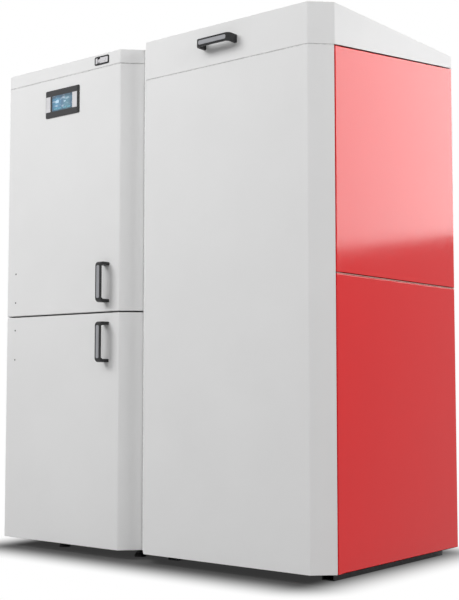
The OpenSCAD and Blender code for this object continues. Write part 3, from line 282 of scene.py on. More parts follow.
def join(pieces, name):
    """Joins pieces into one."""
    only(pieces[0])
    for piece in pieces[1:]:
        piece.select_set(True)
    bpy.ops.object.join()
    pieces[0].name = name
    pieces[0].data.name = name
    return pieces[0]


def cut(obj, tool):
    """Cuts a tool's shape out of a piece and throws the tool away."""
    apply_modifier(obj, "BOOLEAN", operation="DIFFERENCE", object=tool, solver="EXACT")
    bpy.data.objects.remove(tool)


def rounded_block(name, low, high, corner, edge):
    """A block whose corners along Y are round, with its front edges broken."""
    piece = block(name, low, high)
    with editing(piece):
        for width, steps, test in ((corner, 6, running(ALONG_Y)), (edge, 2, level_with(low[1]))):
            pick(piece, "edges", test)
            bpy.ops.mesh.bevel(offset=width, offset_type="OFFSET", segments=steps)
    tidy_normals(piece)
    return piece


def coat(obj, finish):
    """Gives an object one finish."""
    obj.data.materials.clear()
    obj.data.materials.append(FINISHES[finish].material)


def place_piece(obj, body, slot, finish, *nodes, angle=0):
    """Gives a piece its shading, finish and body, and hides the nodes that it stands for. The slot is
    not used.
    """
    if angle:
        smooth(obj, angle)
    coat(obj, finish)
    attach(obj, body)
    if nodes:
        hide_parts(*nodes)


# Finishes

# Pale blue of the screen's marks, and of the painted highlights that glow on its glass
SCREEN_MARKS_AND_HIGHLIGHTS = from_screen(206, 226, 240)


def feed(node, inputs):
    """Gives a node's inputs plain values, or sockets to draw from."""
    for key, value in inputs.items():
        if isinstance(value, bpy.types.NodeSocket):
            node.id_data.links.new(value, node.inputs[key])
        else:
            node.inputs[key].default_value = value


def add_node(tree, kind, inputs=None, output=None, **settings):
    """Adds a shader node, and gives back the node or one of its outputs."""
    node = tree.nodes.new(f"ShaderNode{kind}")
    for key, value in settings.items():
        setattr(node, key, value)
    feed(node, inputs or {})
    return node.outputs[output] if output else node


class Finish:
    """Builds the nodes of one finish round its shader, on object coordinates."""

    def __init__(self, name, base, roughness, metallic=0.0, scale=(1, 1, 1), shift=(0, 0, 0)):
        self.material = bpy.data.materials.new(name)
        self.material.use_nodes = True
        tree = self.material.node_tree
        self.add = partial(add_node, tree)
        self.shader = next(n for n in tree.nodes if n.type == "BSDF_PRINCIPLED")
        self.base = tuple(base)
        feed(self.shader, {"Base Color": (*base, 1), "Roughness": roughness, "Metallic": metallic})
        coords = self.add("TexCoord", None, "Object")
        self.place = self.add(
            "Mapping", {"Vector": coords, "Location": shift, "Scale": scale}, "Vector")

    def noise(self, size, detail=2.0, roughness=0.5):
        """A cloudy pattern whose spots are about size across."""
        return self.add("TexNoise", {
            "Vector": self.place, "Scale": 1 / size, "Detail": detail, "Roughness": roughness}, "Fac")

    def cells(self, size, output="Distance"):
        """A pattern of cells, each about size across."""
        return self.add("TexVoronoi", {"Vector": self.place, "Scale": 1 / size}, output)

    def bands(self, size, direction):
        """Straight bands across one axis, each about size wide."""
        scale = 0.5 / size / math.pi
        return self.add(
            "TexWave", {"Vector": self.place, "Scale": scale}, "Fac", bands_direction=direction)

    def remap(self, source, low, high, from_low=0.3, from_high=0.7):
        """Maps a pattern's usual reach to a range of values."""
        return self.add("MapRange", {
            "Value": source, "From Min": from_low, "From Max": from_high,
            "To Min": low, "To Max": high}, "Result")

    def sum(self, first, second, share):
        """Adds a share of the second pattern to the first."""
        return self.add("Math", {0: second, 1: share, 2: first}, "Value", operation="MULTIPLY_ADD")

    def blend(self, first, second, share, kind="MIX"):
        """Blends two colours. Each of the three may be a socket or a plain value."""
        mix = self.add("Mix", {0: share}, data_type="RGBA", blend_type=kind)
        places = [i for i, socket in enumerate(mix.inputs) if socket.type == "RGBA"]
        feed(mix, dict(zip(places, (first, second))))
        return next(socket for socket in mix.outputs if socket.type == "RGBA")

    def colour_row(self, source, stops):
        """Runs a value through a row of colours, each with its place from 0 to 1."""
        ramp = self.add("ValToRGB", {"Fac": source})
        row = ramp.color_ramp.elements
        while len(row) < len(stops):
            row.new(0.5)
        for element, (place, shade) in zip(row, stops):
            element.position = place
            element.color = (*from_screen(*shade), 1)
        return ramp.outputs["Color"]

    def shade(self, source, low, high, from_low=0.3, from_high=0.7):
        """Varies the base colour between two shares of itself."""
        ends = [(*[min(1.0, c * share) for c in self.base], 1) for share in (low, high)]
        factor = self.remap(source, 0.0, 1.0, from_low, from_high)
        feed(self.shader, {"Base Color": self.blend(*ends, factor)})

    def gloss(self, source, low, high):
        """Varies the roughness between two values."""
        feed(self.shader, {"Roughness": self.remap(source, low, high)})

    def relief(self, source, depth, strength):
        """Raises the surface by a pattern."""
        inputs = {"Height": source, "Distance": depth, "Strength": strength}
        feed(self.shader, {"Normal": self.add("Bump", inputs, "Normal")})


def powder_coat(name, base, roughness, gloss):
    """A powder coat: fine orange peel and a faint cloudiness."""
    finish = Finish(name, base, roughness)
    finish.shade(finish.noise(220 * MM, 3.0), 0.985, 1.012)
    finish.gloss(finish.noise(14 * MM, 3.0), roughness - 0.03, roughness + 0.04)
    peel = finish.sum(finish.noise(2.4 * MM), finish.noise(0.7 * MM, 1.0), 0.35)
    finish.relief(peel, 0.05 * MM, 0.5)
    feed(finish.shader, {"Specular IOR Level": gloss})
    return finish


def moulded(name, base, roughness):
    """A moulded plastic: fine even grain."""
    finish = Finish(name, base, roughness)
    finish.shade(finish.noise(30 * MM), 0.93, 1.06)
    finish.gloss(finish.noise(4 * MM), roughness - 0.05, roughness + 0.06)
    finish.relief(finish.noise(0.5 * MM, 2.0, 0.6), 0.04 * MM, 0.6)
    return finish


def galvanised(name, base):
    """Galvanised sheet: flat crystals that catch the light differently."""
    finish = Finish(name, base, 0.38, 1.0)
    finish.shade(finish.cells(9 * MM, "Color"), 0.82, 1.1, 0.0, 1.0)
    finish.gloss(finish.noise(12 * MM, 3.0), 0.30, 0.48)
    finish.relief(finish.noise(1.5 * MM), 0.02 * MM, 0.4)
    return finish


def brushed(name, base, axis):
    """Turned or drawn bright steel, with fine lines along one axis."""
    scale = [1, 1, 1]
    scale[axis] = 0.05
    finish = Finish(name, base, 0.3, 1.0, scale)
    lines = finish.noise(0.6 * MM, 3.0, 0.6)
    finish.shade(lines, 0.86, 1.08)
    finish.gloss(lines, 0.24, 0.38)
    finish.relief(lines, 0.02 * MM, 0.5)
    return finish


def primer(name, base, roughness=0.62):
    """Primer or paint on rolled steel: dull, with a slight mottle."""
    finish = Finish(name, base, roughness)
    finish.shade(finish.noise(18 * MM, 4.0, 0.6), 0.8, 1.18)
    finish.gloss(finish.noise(7 * MM), roughness - 0.08, roughness + 0.08)
    finish.relief(finish.noise(1.1 * MM, 3.0, 0.6), 0.06 * MM, 0.6)
    return finish


def sand_cast(name, base):
    """Sand-cast iron: pitted and dull."""
    finish = Finish(name, base, 0.7, 0.35)
    finish.shade(finish.noise(25 * MM, 4.0, 0.6), 0.75, 1.25)
    pits = finish.sum(finish.noise(1.6 * MM, 4.0, 0.7), finish.cells(2.6 * MM), 0.3)
    finish.gloss(finish.noise(3 * MM), 0.6, 0.8)
    finish.relief(pits, 0.25 * MM, 0.8)
    return finish


def jacket_cloth(name, base):
    """The jacket's face: a plain weave over a soft fleece."""
    finish = Finish(name, base, 0.92)
    finish.shade(finish.noise(40 * MM, 4.0, 0.6), 0.84, 1.06)
    weave = finish.sum(finish.bands(1.6 * MM, "Z"), finish.bands(1.6 * MM, "X"), 1.0)
    finish.relief(finish.sum(weave, finish.noise(9 * MM, 3.0), 1.5), 0.35 * MM, 0.7)
    feed(finish.shader, {"Sheen Weight": 0.15})
    return finish


def board(name, base):
    """Heat-proof board: a coarse crumb."""
    finish = Finish(name, base, 0.95)
    finish.shade(finish.noise(6 * MM, 4.0, 0.7), 0.8, 1.1)
    crumb = finish.sum(finish.noise(2 * MM, 4.0, 0.7), finish.cells(5 * MM), 0.5)
    finish.relief(crumb, 0.5 * MM, 0.8)
    return finish


def ribbed_hose(name, base):
    """A soft hose with a wire helix that shows as fine rings."""
    finish = Finish(name, base, 0.55)
    rings = finish.bands(6 * MM, "Z")
    finish.shade(rings, 0.8, 1.08, 0.0, 1.0)
    finish.relief(rings, 0.8 * MM, 0.8)
    return finish


def rubber(name, base):
    """A dull sealing rubber."""
    finish = Finish(name, base, 0.85)
    finish.shade(finish.noise(8 * MM, 3.0), 0.85, 1.2)
    finish.relief(finish.noise(0.8 * MM), 0.08 * MM, 0.7)
    return finish


def ceramic(name, base):
    """Unglazed white ceramic."""
    finish = Finish(name, base, 0.8)
    finish.shade(finish.noise(5 * MM, 4.0, 0.6), 0.88, 1.05)
    finish.relief(finish.noise(0.9 * MM, 3.0), 0.05 * MM, 0.6)
    return finish


def lit_screen(name, low, high):
    """The lit screen: blue at the left, teal and grey to the right, with pale clouds of painted
    highlight, a dark header and a dark foot. Its patterns are measured in shares of the screen."""
    span = high - low
    finish = Finish(
        name, (0.02, 0.05, 0.07), 0.12, scale=(1 / span.x, 1 / span.x, 1 / span.z),
        shift=(-low.x / span.x, 0, -low.z / span.z))
    place = finish.add("SeparateXYZ", {"Vector": finish.place}).outputs
    wobble = finish.sum(place["X"], finish.noise(0.35), 0.35)
    across = finish.colour_row(finish.remap(wobble, 0.0, 1.0, 0.16, 1.16), [
        (0.0, (40, 92, 128)), (0.28, (98, 160, 196)), (0.5, (84, 118, 150)),
        (0.72, (104, 150, 168)), (1.0, (66, 96, 122))])
    # Pale clouds over the screen: painted highlights, glare on the glass given out as glow
    lights = finish.remap(finish.noise(0.22), 0.0, 1.0, 0.56, 0.74)
    with_painted_highlights = finish.blend(across, (*SCREEN_MARKS_AND_HIGHLIGHTS, 1), lights)
    upward = finish.colour_row(place["Z"], [
        (0.0, (150, 150, 150)), (0.16, (255, 255, 255)), (0.78, (255, 255, 255)),
        (0.88, (160, 160, 166)), (1.0, (148, 148, 156))])
    feed(finish.shader, {
        "Emission Color": finish.blend(with_painted_highlights, upward, 1.0, "MULTIPLY"), "Emission Strength": 0.75,
        "Coat Weight": 0.6, "Coat Roughness": 0.05})
    return finish


def glowing(name, base, strength):
    """A mark on the lit screen."""
    finish = Finish(name, base, 0.3)
    finish.gloss(finish.noise(2 * MM), 0.25, 0.4)
    feed(finish.shader, {"Emission Color": (*base, 1), "Emission Strength": strength})
    return finish


FINISHES = {}


def make_finishes():
    """Makes every finish once, from the current colours."""
    c = colours()
    FINISHES.update({
        "light_paint": powder_coat("light_powder_coat", c.light_paint, 0.46, 0.2),
        "red_paint": powder_coat("red_powder_coat", c.red_paint, 0.11, 0.25),
        "black": moulded("black_moulding", c.black, 0.5),
        "black_gloss": moulded("black_gloss_moulding", [0.5 * value for value in c.black], 0.3),
        "charcoal": moulded("charcoal_face", c.charcoal, 0.42),
        "pale": moulded("pale_moulding", c.pale, 0.35),
        "strip": moulded("handle_strip", c.strip, 0.32),
        "zinc": galvanised("zinc_sheet", c.zinc),
        "steel_x": brushed("bright_steel_across", c.steel, 0),
        "steel_z": brushed("bright_steel_upright", c.steel, 2),
        "dark_primer": primer("dark_primer", c.dark_primer),
        "vessel": primer("vessel_paint", c.vessel, 0.7),
        "cast_iron": sand_cast("cast_iron", c.cast_iron),
        "wool": jacket_cloth("jacket_cloth", c.wool),
        "board": board("heat_proof_board", c.board),
        "hose": ribbed_hose("soft_hose", c.hose),
        "motor": primer("motor_paint", c.motor, 0.45),
        "rubber": rubber("sealing_rubber", from_screen(30, 30, 31)),
        "seal": rubber("pale_sealing_rubber", [0.9 * value for value in c.light_paint]),
        # Pinkish white of the strip between the red panels: a painted highlight of the lower panel's
        # top edge
        "side_highlight_seal": rubber("warm_sealing_rubber", from_screen(228, 160, 150)),
        "ceramic": ceramic("white_ceramic", from_screen(222, 216, 204)),
        "screen": lit_screen("lit_screen", *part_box("display_screen")),
        "mark": glowing("screen_mark", SCREEN_MARKS_AND_HIGHLIGHTS, 0.62),
        "tile": glowing("screen_tile", from_screen(96, 150, 166), 0.25),
    })


NODE_FINISHES = {
    "light_paint": ["front_frame", "rear_panels"],
    "black": ["boiler_feet", "hatch_knobs", "door_magnets", "cable_glands"],
    "dark_primer": ["boiler_rails", "hopper_frame"],
    "vessel": ["vessel_shell", "firebox", "smoke_tubes", "smoke_chamber"],
    "cast_iron": ["cleaning_hatch", "combustion_door"],
    "board": ["combustion_door_lining"],
    "wool": ["vessel_insulation"],
    "zinc": ["ash_box", "flue_box", "burner", "upper_door_lining", "lower_door_lining", "hopper_bin",
             "feed_tube", "lid_lining", "turbulator_rack", "door_hinge_plates", "lid_hinge_brackets",
             "lid_hinge_leaves"],
    "steel_x": ["feed_auger", "cleaning_shaft"],
    "steel_z": ["blower_wheel", "flue_fan_rotor"],
    "motor": ["cleaning_motor", "flue_fan_motor", "burner_blower", "feed_motor", "control_box"],
    "hose": ["feed_hose"],
    "rubber": ["lid_gasket"],
    "ceramic": ["igniter"],
}


class BOILER_OT_finishes(bpy.types.Operator):
    """Makes the finishes and gives them to the pieces that stay as they are"""
    bl_idname = "boiler.finishes"
    bl_label = "Finishes"

    def execute(self, context):
        make_finishes()
        for finish, nodes in NODE_FINISHES.items():
            for name in nodes:
                coat(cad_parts[name], finish)
        return {"FINISHED"}


# Folded sheet panels

# Faces narrower than this are the cut edges of a sheet, which stay sharp
SHEET_EDGE = 2.4 * MM
# Shorter edges than this aren't bends
SHORTEST_BEND = 3 * MM
# Degrees from which an edge is a bend, and from which that bend is square
BEND_FROM = 30
SQUARE_FROM = 60


def merged_copy(node, name):
    """A clean copy of a node's mesh: points joined and flat faces made whole."""
    copy = bpy.data.objects.new(name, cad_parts[node].data.copy())
    copy.data.name = name
    bpy.context.scene.collection.objects.link(copy)
    only(copy)
    bpy.ops.mesh.customdata_custom_splitnormals_clear()
    with editing(copy):
        weld()
        bpy.ops.mesh.dissolve_limited(angle_limit=math.radians(0.5))
    return copy


def face_width(face):
    """About how wide a long face is."""
    return 2 * face.calc_area() / sum(edge.calc_length() for edge in face.edges)


def fold_weights(obj, fold):
    """Marks the bends of a sheet panel: full weight at a cut-off corner, less at a square fold."""
    mesh = bmesh.new()
    mesh.from_mesh(obj.data)
    weights = []
    for edge in mesh.edges:
        weight = 0.0
        if len(edge.link_faces) == 2 and edge.is_convex and edge.calc_length() > SHORTEST_BEND:
            angle = math.degrees(edge.calc_face_angle(0))
            if angle > BEND_FROM and all(face_width(face) > SHEET_EDGE for face in edge.link_faces):
                weight = 1.0 if angle < SQUARE_FROM else fold / sizes().front_bend
        weights.append(weight)
    mesh.free()
    attribute = obj.data.attributes.new("bevel_weight_edge", "FLOAT", "EDGE")
    attribute.data.foreach_set("value", weights)


def fold_panel(node, name, body, paint="light_paint", slot="grey_paint", fold=None):
    """A sheet panel with soft bends, in place of its node and inside its box."""
    panel = merged_copy(node, name)
    fold_weights(panel, fold or sizes().fold_bend)
    apply_modifier(
        panel, "BEVEL", width=sizes().front_bend, segments=sizes().bend_steps,
        limit_method="WEIGHT", use_clamp_overlap=False)
    low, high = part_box(node)
    for vertex in panel.data.vertices:
        vertex.co = [min(max(vertex.co[i], low[i]), high[i]) for i in range(3)]
    place_piece(panel, body, slot, paint, node, angle=25)


class BOILER_OT_doors(bpy.types.Operator):
    """Folds the two doors of the boiler"""
    bl_idname = "boiler.doors"
    bl_label = "Doors"

    def execute(self, context):
        for door in ("upper_door", "lower_door"):
            fold_panel(door, f"{door}_shell", door)
        return {"FINISHED"}


class BOILER_OT_casing(bpy.types.Operator):
    """Folds the casing of both cabinets: top cover, hopper front and side panels"""
    bl_idname = "boiler.casing"
    bl_label = "Casing"

    def execute(self, context):
        for node in ("boiler_top_cover", "hopper_front_panel", "boiler_right_panel",
                     "hopper_left_panel"):
            fold_panel(node, f"{node}_sheet", "casing")
        for node in ("left_side_panels", "right_side_panels"):
            fold_panel(
                node, f"{node}_sheet", "casing", "red_paint", "red_paint", sizes().side_bend)
        return {"FINISHED"}


class BOILER_OT_lid(bpy.types.Operator):
    """Folds the hopper's lid"""
    bl_idname = "boiler.lid"
    bl_label = "Hopper lid"

    def execute(self, context):
        fold_panel("hopper_lid", "hopper_lid_sheet", "lid")
        return {"FINISHED"}


# Sealing strips

SEAL_THICK = 1.4 * MM
STRIP_ROUND = 0.3 * MM
# Room between a seal and the sheet in front of it, and over the panel below it
SEAL_BEHIND = 0.05 * MM
SEAL_OVER = 0.6 * MM


def set_strip(strip, body, finish):
    """Breaks the edges of a strip and fixes it to its body."""
    bevel_edges(strip, STRIP_ROUND, 2)
    place_piece(strip, body, "black_plastic", finish, angle=40)


def joint_seal(name, low, high, corner, body):
    """A pale sealing strip behind a joint, round a cabinet's front and its cut-off corners."""
    inside = sizes().sheet + SEAL_BEHIND
    low = Vector(low) + Vector((inside, inside, 0))
    high = Vector(high) - Vector((inside, 0, 0))
    seal = block(name, low, high)
    in_front = level_with(low.y)
    upright = running(ALONG_Z)
    slant = corner - inside * (2 - math.sqrt(2))
    bevel_edges(seal, slant, 1, lambda edge: in_front(edge) and upright(edge))
    with editing(seal):
        pick(seal, "faces", lambda f: f.normal.y > ALIGNED or abs(f.normal.z) > ALIGNED)
        bpy.ops.mesh.delete(type="FACE")
    apply_modifier(seal, "SOLIDIFY", thickness=SEAL_THICK, offset=-1, use_even_offset=True)
    set_strip(seal, body, "seal")


class BOILER_OT_seals(bpy.types.Operator):
    """Sets the pale sealing strips behind the joints under the top cover and under the lid and
    between the cabinets, and a strip between the red panels whose pinkish white is a painted
    highlight"""
    bl_idname = "boiler.seals"
    bl_label = "Sealing strips"

    def execute(self, context):
        low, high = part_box("boiler_top_cover")
        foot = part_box("upper_door")[1].z + SEAL_OVER
        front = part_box("hopper_front_panel")[1]
        corner = front.y - low.y
        past_corner = 3 * MM
        into_cover = 6 * MM
        joint_seal(
            "top_cover_seal", (low.x, low.y, foot),
            (high.x, low.y + corner + past_corner, low.z + into_cover), corner, "casing")
        low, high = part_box("hopper_lid")
        joint_seal(
            "lid_seal", (low.x, low.y, front.z + SEAL_OVER),
            (high.x, low.y + corner, low.z), corner, "lid")
        self.fill_gap(low.y + corner)
        self.close_side_joint("left_joint_strip", "left_side_panels", -1)
        self.close_side_joint("right_joint_strip", "right_side_panels", 1)
        return {"FINISHED"}

    def close_side_joint(self, name, node, side):
        """The strip between the two red panels of a side, set back in their joint. Its pinkish white
        is a painted highlight, the light on the lower panel's rounded top edge.
        """
        low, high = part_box(node)
        face = high.x if side > 0 else low.x
        set_back = 0.8 * MM
        back = 4 * MM
        short = 3 * MM
        split = sizes().side_split
        foot = split - 1.9 * MM
        top = split + 0.6 * MM
        left, right = sorted((face - side * back, face - side * set_back))
        strip = block(name, (left, low.y + short, foot), (right, high.y - short, top))
        set_strip(strip, "casing", "side_highlight_seal")

    def fill_gap(self, y):
        """The strip that closes the gap between the cabinets, thinner beside the lid."""
        low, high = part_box("hopper_left_panel")
        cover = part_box("boiler_top_cover")[1]
        gap = 3.2 * MM
        lid_room = 0.4 * MM
        deep = 9 * MM
        strip = block("cabinet_joint_strip", (low.x - gap, y + MM, low.z),
                      (low.x, y + deep, cover.z - 3 * MM))
        cut(strip, block("lid_side", (low.x - lid_room, y, high.z),
                         (low.x + MM, y + deep + MM, cover.z)))
        set_strip(strip, "casing", "seal")


# Handles

def sweep_handle(name, low, high, upright):
    """A bow handle in its node's box: one section with round corners, drawn out, spun round each
    corner and drawn on, from one foot to the other. Its grip is then made thinner from behind.
    Its feet stand on the high Y side."""
    long_axis = 2 if upright else 0
    wide_axis = 0 if upright else 2
    run = Vector((0, 0, 1)) if upright else Vector((1, 0, 0))
    centre = (low + high) / 2
    thick = sizes().grip_thick
    corner = sizes().grip_corner
    width = high[wide_axis] - low[wide_axis]
    foot = Vector((centre.x, high.y, centre.z))
    foot[long_axis] = low[long_axis] + thick / 2
    bpy.ops.object.select_all(action="DESELECT")
    bpy.ops.mesh.primitive_plane_add(size=1, location=foot, rotation=(math.radians(90), 0, 0))
    bpy.context.active_object.scale = (width, thick, 1) if upright else (thick, width, 1)
    handle = settle(name)
    with editing(handle):
        bpy.ops.mesh.select_all(action="SELECT")
        bpy.ops.mesh.bevel(
            offset=sizes().grip_round, offset_type="OFFSET", segments=5, affect="VERTICES")
    outwards = Vector((0, corner + low.y - high.y, 0))
    grip = high[long_axis] - low[long_axis] - 2 * corner
    first = foot + outwards + run * (corner - thick / 2)
    second = first + run * grip
    axis = run.cross(-ALONG_Y)
    with editing(handle, "FACE"):
        bpy.ops.mesh.select_all(action="SELECT")
        for move, pivot in ((outwards, first), (run * grip, second), (-outwards, None)):
            bpy.ops.mesh.extrude_region_move(TRANSFORM_OT_translate={"value": move})
            if pivot is not None:
                bpy.ops.mesh.spin(
                    steps=10, angle=math.radians(90), center=pivot, axis=axis,
                    use_auto_merge=False)
    tidy_normals(handle)
    slack = 0.1 * MM

    def behind_grip(vertex):
        depth = vertex.co.y - low.y
        aside = abs((vertex.co - centre).dot(run))
        return thick / 2 < depth < thick + slack and aside < grip / 2 + slack

    with editing(handle):
        pick(handle, "verts", behind_grip)
        bpy.ops.transform.translate(value=(0, -sizes().grip_thin, 0))
    return handle


def strip_slug(name, low, high, upright, grow=0.0, past=0.0):
    """A flat bar with round corners in the middle of a light strip's node. The tool for its
    pocket grows all round and stands out past the front."""
    half = Vector((sizes().strip_length, 0, sizes().strip_width)) / 2
    if upright:
        half = Vector((half.z, 0, half.x))
    half += Vector((grow, 0, grow))
    centre = (low + high) / 2
    a = centre - half
    b = centre + half
    a.y = low.y - past
    b.y = high.y
    slug = block(name, a, b)
    bevel_edges(slug, sizes().strip_corner + grow, 8, running(ALONG_Y))
    tidy_normals(slug)
    return slug


class BOILER_OT_handles(bpy.types.Operator):
    """Makes the three bow handles and the light strips let into them"""
    bl_idname = "boiler.handles"
    bl_label = "Handles"

    def execute(self, context):
        for side, body in (("upper", "upper_door"), ("lower", "lower_door"), ("lid", "lid")):
            grip = f"{body}_handle"
            inlay = f"{side}_handle_inlay"
            upright = side != "lid"
            handle = sweep_handle(f"{side}_bow_handle", *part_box(grip), upright)
            low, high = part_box(inlay)
            cut(handle, strip_slug("pocket", low, high, upright, sizes().strip_gap, 5 * MM))
            place_piece(handle, body, "black_plastic", "black", grip, angle=40)
            strip = strip_slug(f"{side}_handle_strip", low, high, upright)
            bevel_edges(strip, STRIP_ROUND, 2, level_with(low.y))
            place_piece(strip, body, "pale_plastic", "strip", inlay, angle=40)
        return {"FINISHED"}


# Display

# The gloss black piece at the frame's right end, and the joint beside it
END_WIDTH = 9.6 * MM
END_JOINT = 0.15 * MM
# Where the pale inserts start and end, from the frame's left side and from its right side
LEFT_INSERT = (0.8 * MM, 22.7 * MM)
RIGHT_INSERT = (32.6 * MM, 10.1 * MM)
# Numbers on the screen: text, place from the left, place from below and height, in millimetres
NUMBERS = {
    "screen_number": ("68", 16, 26, 15),
    "screen_small_number": ("24", 56, 25, 8),
}
# Places of the tiles from the left, in millimetres
TILES = (9, 30, 51, 72)
TILE_WIDTH = 15 * MM


def screen_text(name, text, place, height):
    """A number on the screen, as a thin mesh."""
    bpy.ops.object.select_all(action="DESELECT")
    bpy.ops.object.text_add(location=place, rotation=(math.radians(90), 0, 0))
    number = bpy.context.active_object
    number.data.body = text
    number.data.size = height
    number.data.extrude = 0.02 * MM
    bpy.ops.object.convert(target="MESH")
    number = settle(name)
    tidy_normals(number)
    return number


class BOILER_OT_display(bpy.types.Operator):
    """Makes the display: frame, pale inserts at both ends, lit screen and its generic marks"""
    bl_idname = "boiler.display"
    bl_label = "Display"

    def execute(self, context):
        low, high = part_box("display_frame")
        screen_low, screen_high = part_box("display_screen")
        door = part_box("upper_door")[0].y
        rim = rounded_block("display_bezel", low, (high.x, door, high.z), 4 * MM, 0.7 * MM)
        end = copy_piece(rim, "display_end")

        def carve(piece, left, right, foot, top, back):
            cut(piece, block("pocket", (left, low.y - MM, foot), (right, back, top)))

        end_x = high.x - END_WIDTH
        carve(rim, end_x, high.x + MM, low.z - MM, high.z + MM, door + MM)
        carve(end, low.x - MM, end_x + END_JOINT, low.z - MM, high.z + MM, door + MM)
        place_piece(end, "upper_door", "black_plastic", "black_gloss", angle=30)
        spans = {
            "left": (low.x + LEFT_INSERT[0], low.x + LEFT_INSERT[1]),
            "right": (high.x - RIGHT_INSERT[0], high.x - RIGHT_INSERT[1]),
        }
        gap = sizes().insert_gap
        pocket = low.y + 1.2 * MM
        for a, b in spans.values():
            carve(rim, a - gap, b + gap, screen_low.z - gap, screen_high.z + gap, pocket)
        play = 0.2 * MM
        carve(rim, screen_low.x - play, screen_high.x + play, screen_low.z - play,
              screen_high.z + play, screen_high.y + 0.05 * MM)
        inset = 5.5 * MM
        back = rounded_block(
            "display_housing", (low.x + inset, door - 0.2 * MM, low.z + inset),
            (high.x - inset, high.y, high.z - inset), 2 * MM, 0.1 * MM)
        for piece in (rim, back):
            smooth(piece, 30)
        bezel = join([rim, back], "display_bezel")
        place_piece(bezel, "upper_door", "black_plastic", "charcoal", "display_frame")
        for side, (a, b) in spans.items():
            insert = rounded_block(
                f"display_{side}_insert", (a, low.y + 0.1 * MM, screen_low.z),
                (b, pocket, screen_high.z), 1.2 * MM, 0.25 * MM)
            place_piece(insert, "upper_door", "pale_plastic", "pale", angle=30)
        glass = rounded_block("lit_screen", screen_low, screen_high, 0.6 * MM, 0.2 * MM)
        place_piece(glass, "upper_door", "screen_glass", "screen", "display_screen", angle=30)
        self.draw_marks(screen_low)
        return {"FINISHED"}

    def draw_marks(self, low):
        """Generic marks: two numbers and a row of tiles, a hair off the glass."""
        proud = 0.02 * MM
        y = low.y - proud
        numbers = [
            screen_text(name, text, (low.x + x * MM, y, low.z + z * MM), height * MM)
            for name, (text, x, z, height) in NUMBERS.items()
        ]
        place_piece(join(numbers, "screen_numbers"), "upper_door", "screen_glass", "mark")
        foot = low.z + 5 * MM
        top = low.z + 9 * MM
        tiles = []
        for i, across in enumerate(TILES):
            left = low.x + across * MM
            tiles.append(rounded_block(
                f"screen_tile_{i}", (left, y - proud, foot),
                (left + TILE_WIDTH, y + 0.1 * MM, top), 0.8 * MM, 0.01 * MM))
        place_piece(join(tiles, "screen_tiles"), "upper_door", "screen_glass", "tile")


# Switches

class BOILER_OT_switches(bpy.types.Operator):
    """Makes the switch window in the top cover with its rocker and button"""
    bl_idname = "boiler.switches"
    bl_label = "Switches"

    def execute(self, context):
        low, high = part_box("switch_housing")
        rocker_low, rocker_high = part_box("mains_rocker")
        button_low, button_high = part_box("reset_button")
        housing = merged_copy("switch_housing", "switch_window")
        place_piece(housing, "casing", "black_plastic", "black", "switch_housing", angle=30)
        rim = 5 * MM
        proud = 0.6 * MM
        plate = rounded_block(
            "switch_plate", (low.x + rim, low.y - proud, low.z + rim),
            (high.x - rim, low.y, high.z - rim), 2 * MM, 0.2 * MM)
        # The plate covers this much of the rocker's node at each side
        covered = 2.3 * MM
        play = 0.3 * MM
        cut(plate, block("hole", (rocker_low.x + covered, low.y - MM, rocker_low.z - play),
                         (rocker_high.x - covered, low.y + MM, rocker_high.z + play)))
        centre = (button_low + button_high) / 2
        radius = (button_high.z - button_low.z) / 2 + 0.2 * MM
        cut(plate, disc("hole", (centre.x, low.y - MM, centre.z), radius, 3 * MM, ALONG_Y))
        place_piece(plate, "casing", "pale_plastic", "pale", angle=30)
        for node in ("mains_rocker", "reset_button"):
            cap = merged_copy(node, f"{node}_cap")
            place_piece(cap, node, "pale_plastic", "pale", node, angle=30)
        return {"FINISHED"}


# Plugs and screws

# Place of the plugs from the doors' left edge, and over the lower door's foot
PLUG_IN = 95.3 * MM
PLUG_HEIGHTS = {"upper": (881.8 * MM, 784.1 * MM), "lower": (690.1 * MM, 591.6 * MM)}
# Half the size of the tool that cuts the oblong recess in a screw's head
RECESS = Vector((1.87383, 0.9, 1.23744)) * MM


class BOILER_OT_plugs(bpy.types.Operator):
    """Sets the four blank plugs into the doors"""
    bl_idname = "boiler.plugs"
    bl_label = "Blank plugs"

    def execute(self, context):
        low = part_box("lower_door")[0]
        proud = sizes().plug_proud
        for side, heights in PLUG_HEIGHTS.items():
            for i, up in enumerate(heights):
                place = (low.x + PLUG_IN, low.y, low.z + up)
                plug = disc(f"{side}_plug_{i}", place, sizes().plug_radius, proud, -ALONG_Y, 24)
                bevel_edges(plug, 0.5 * MM, 3, level_with(low.y - proud))
                place_piece(plug, f"{side}_door", "black_plastic", "charcoal", angle=40)
        return {"FINISHED"}


def make_screw(name, place):
    """A casing screw's head that stands along Y: a low dome with an oblong recess."""
    proud = sizes().screw_proud
    screw = disc(name, place, sizes().screw_radius, proud, ALONG_Y, 24)
    crown = Vector(place) + ALONG_Y * proud
    bevel_edges(screw, 0.9 * MM, 3, level_with(crown.y))
    cut(screw, block("recess", crown - RECESS, crown + RECESS))
    smooth(screw, 35)
    return screw


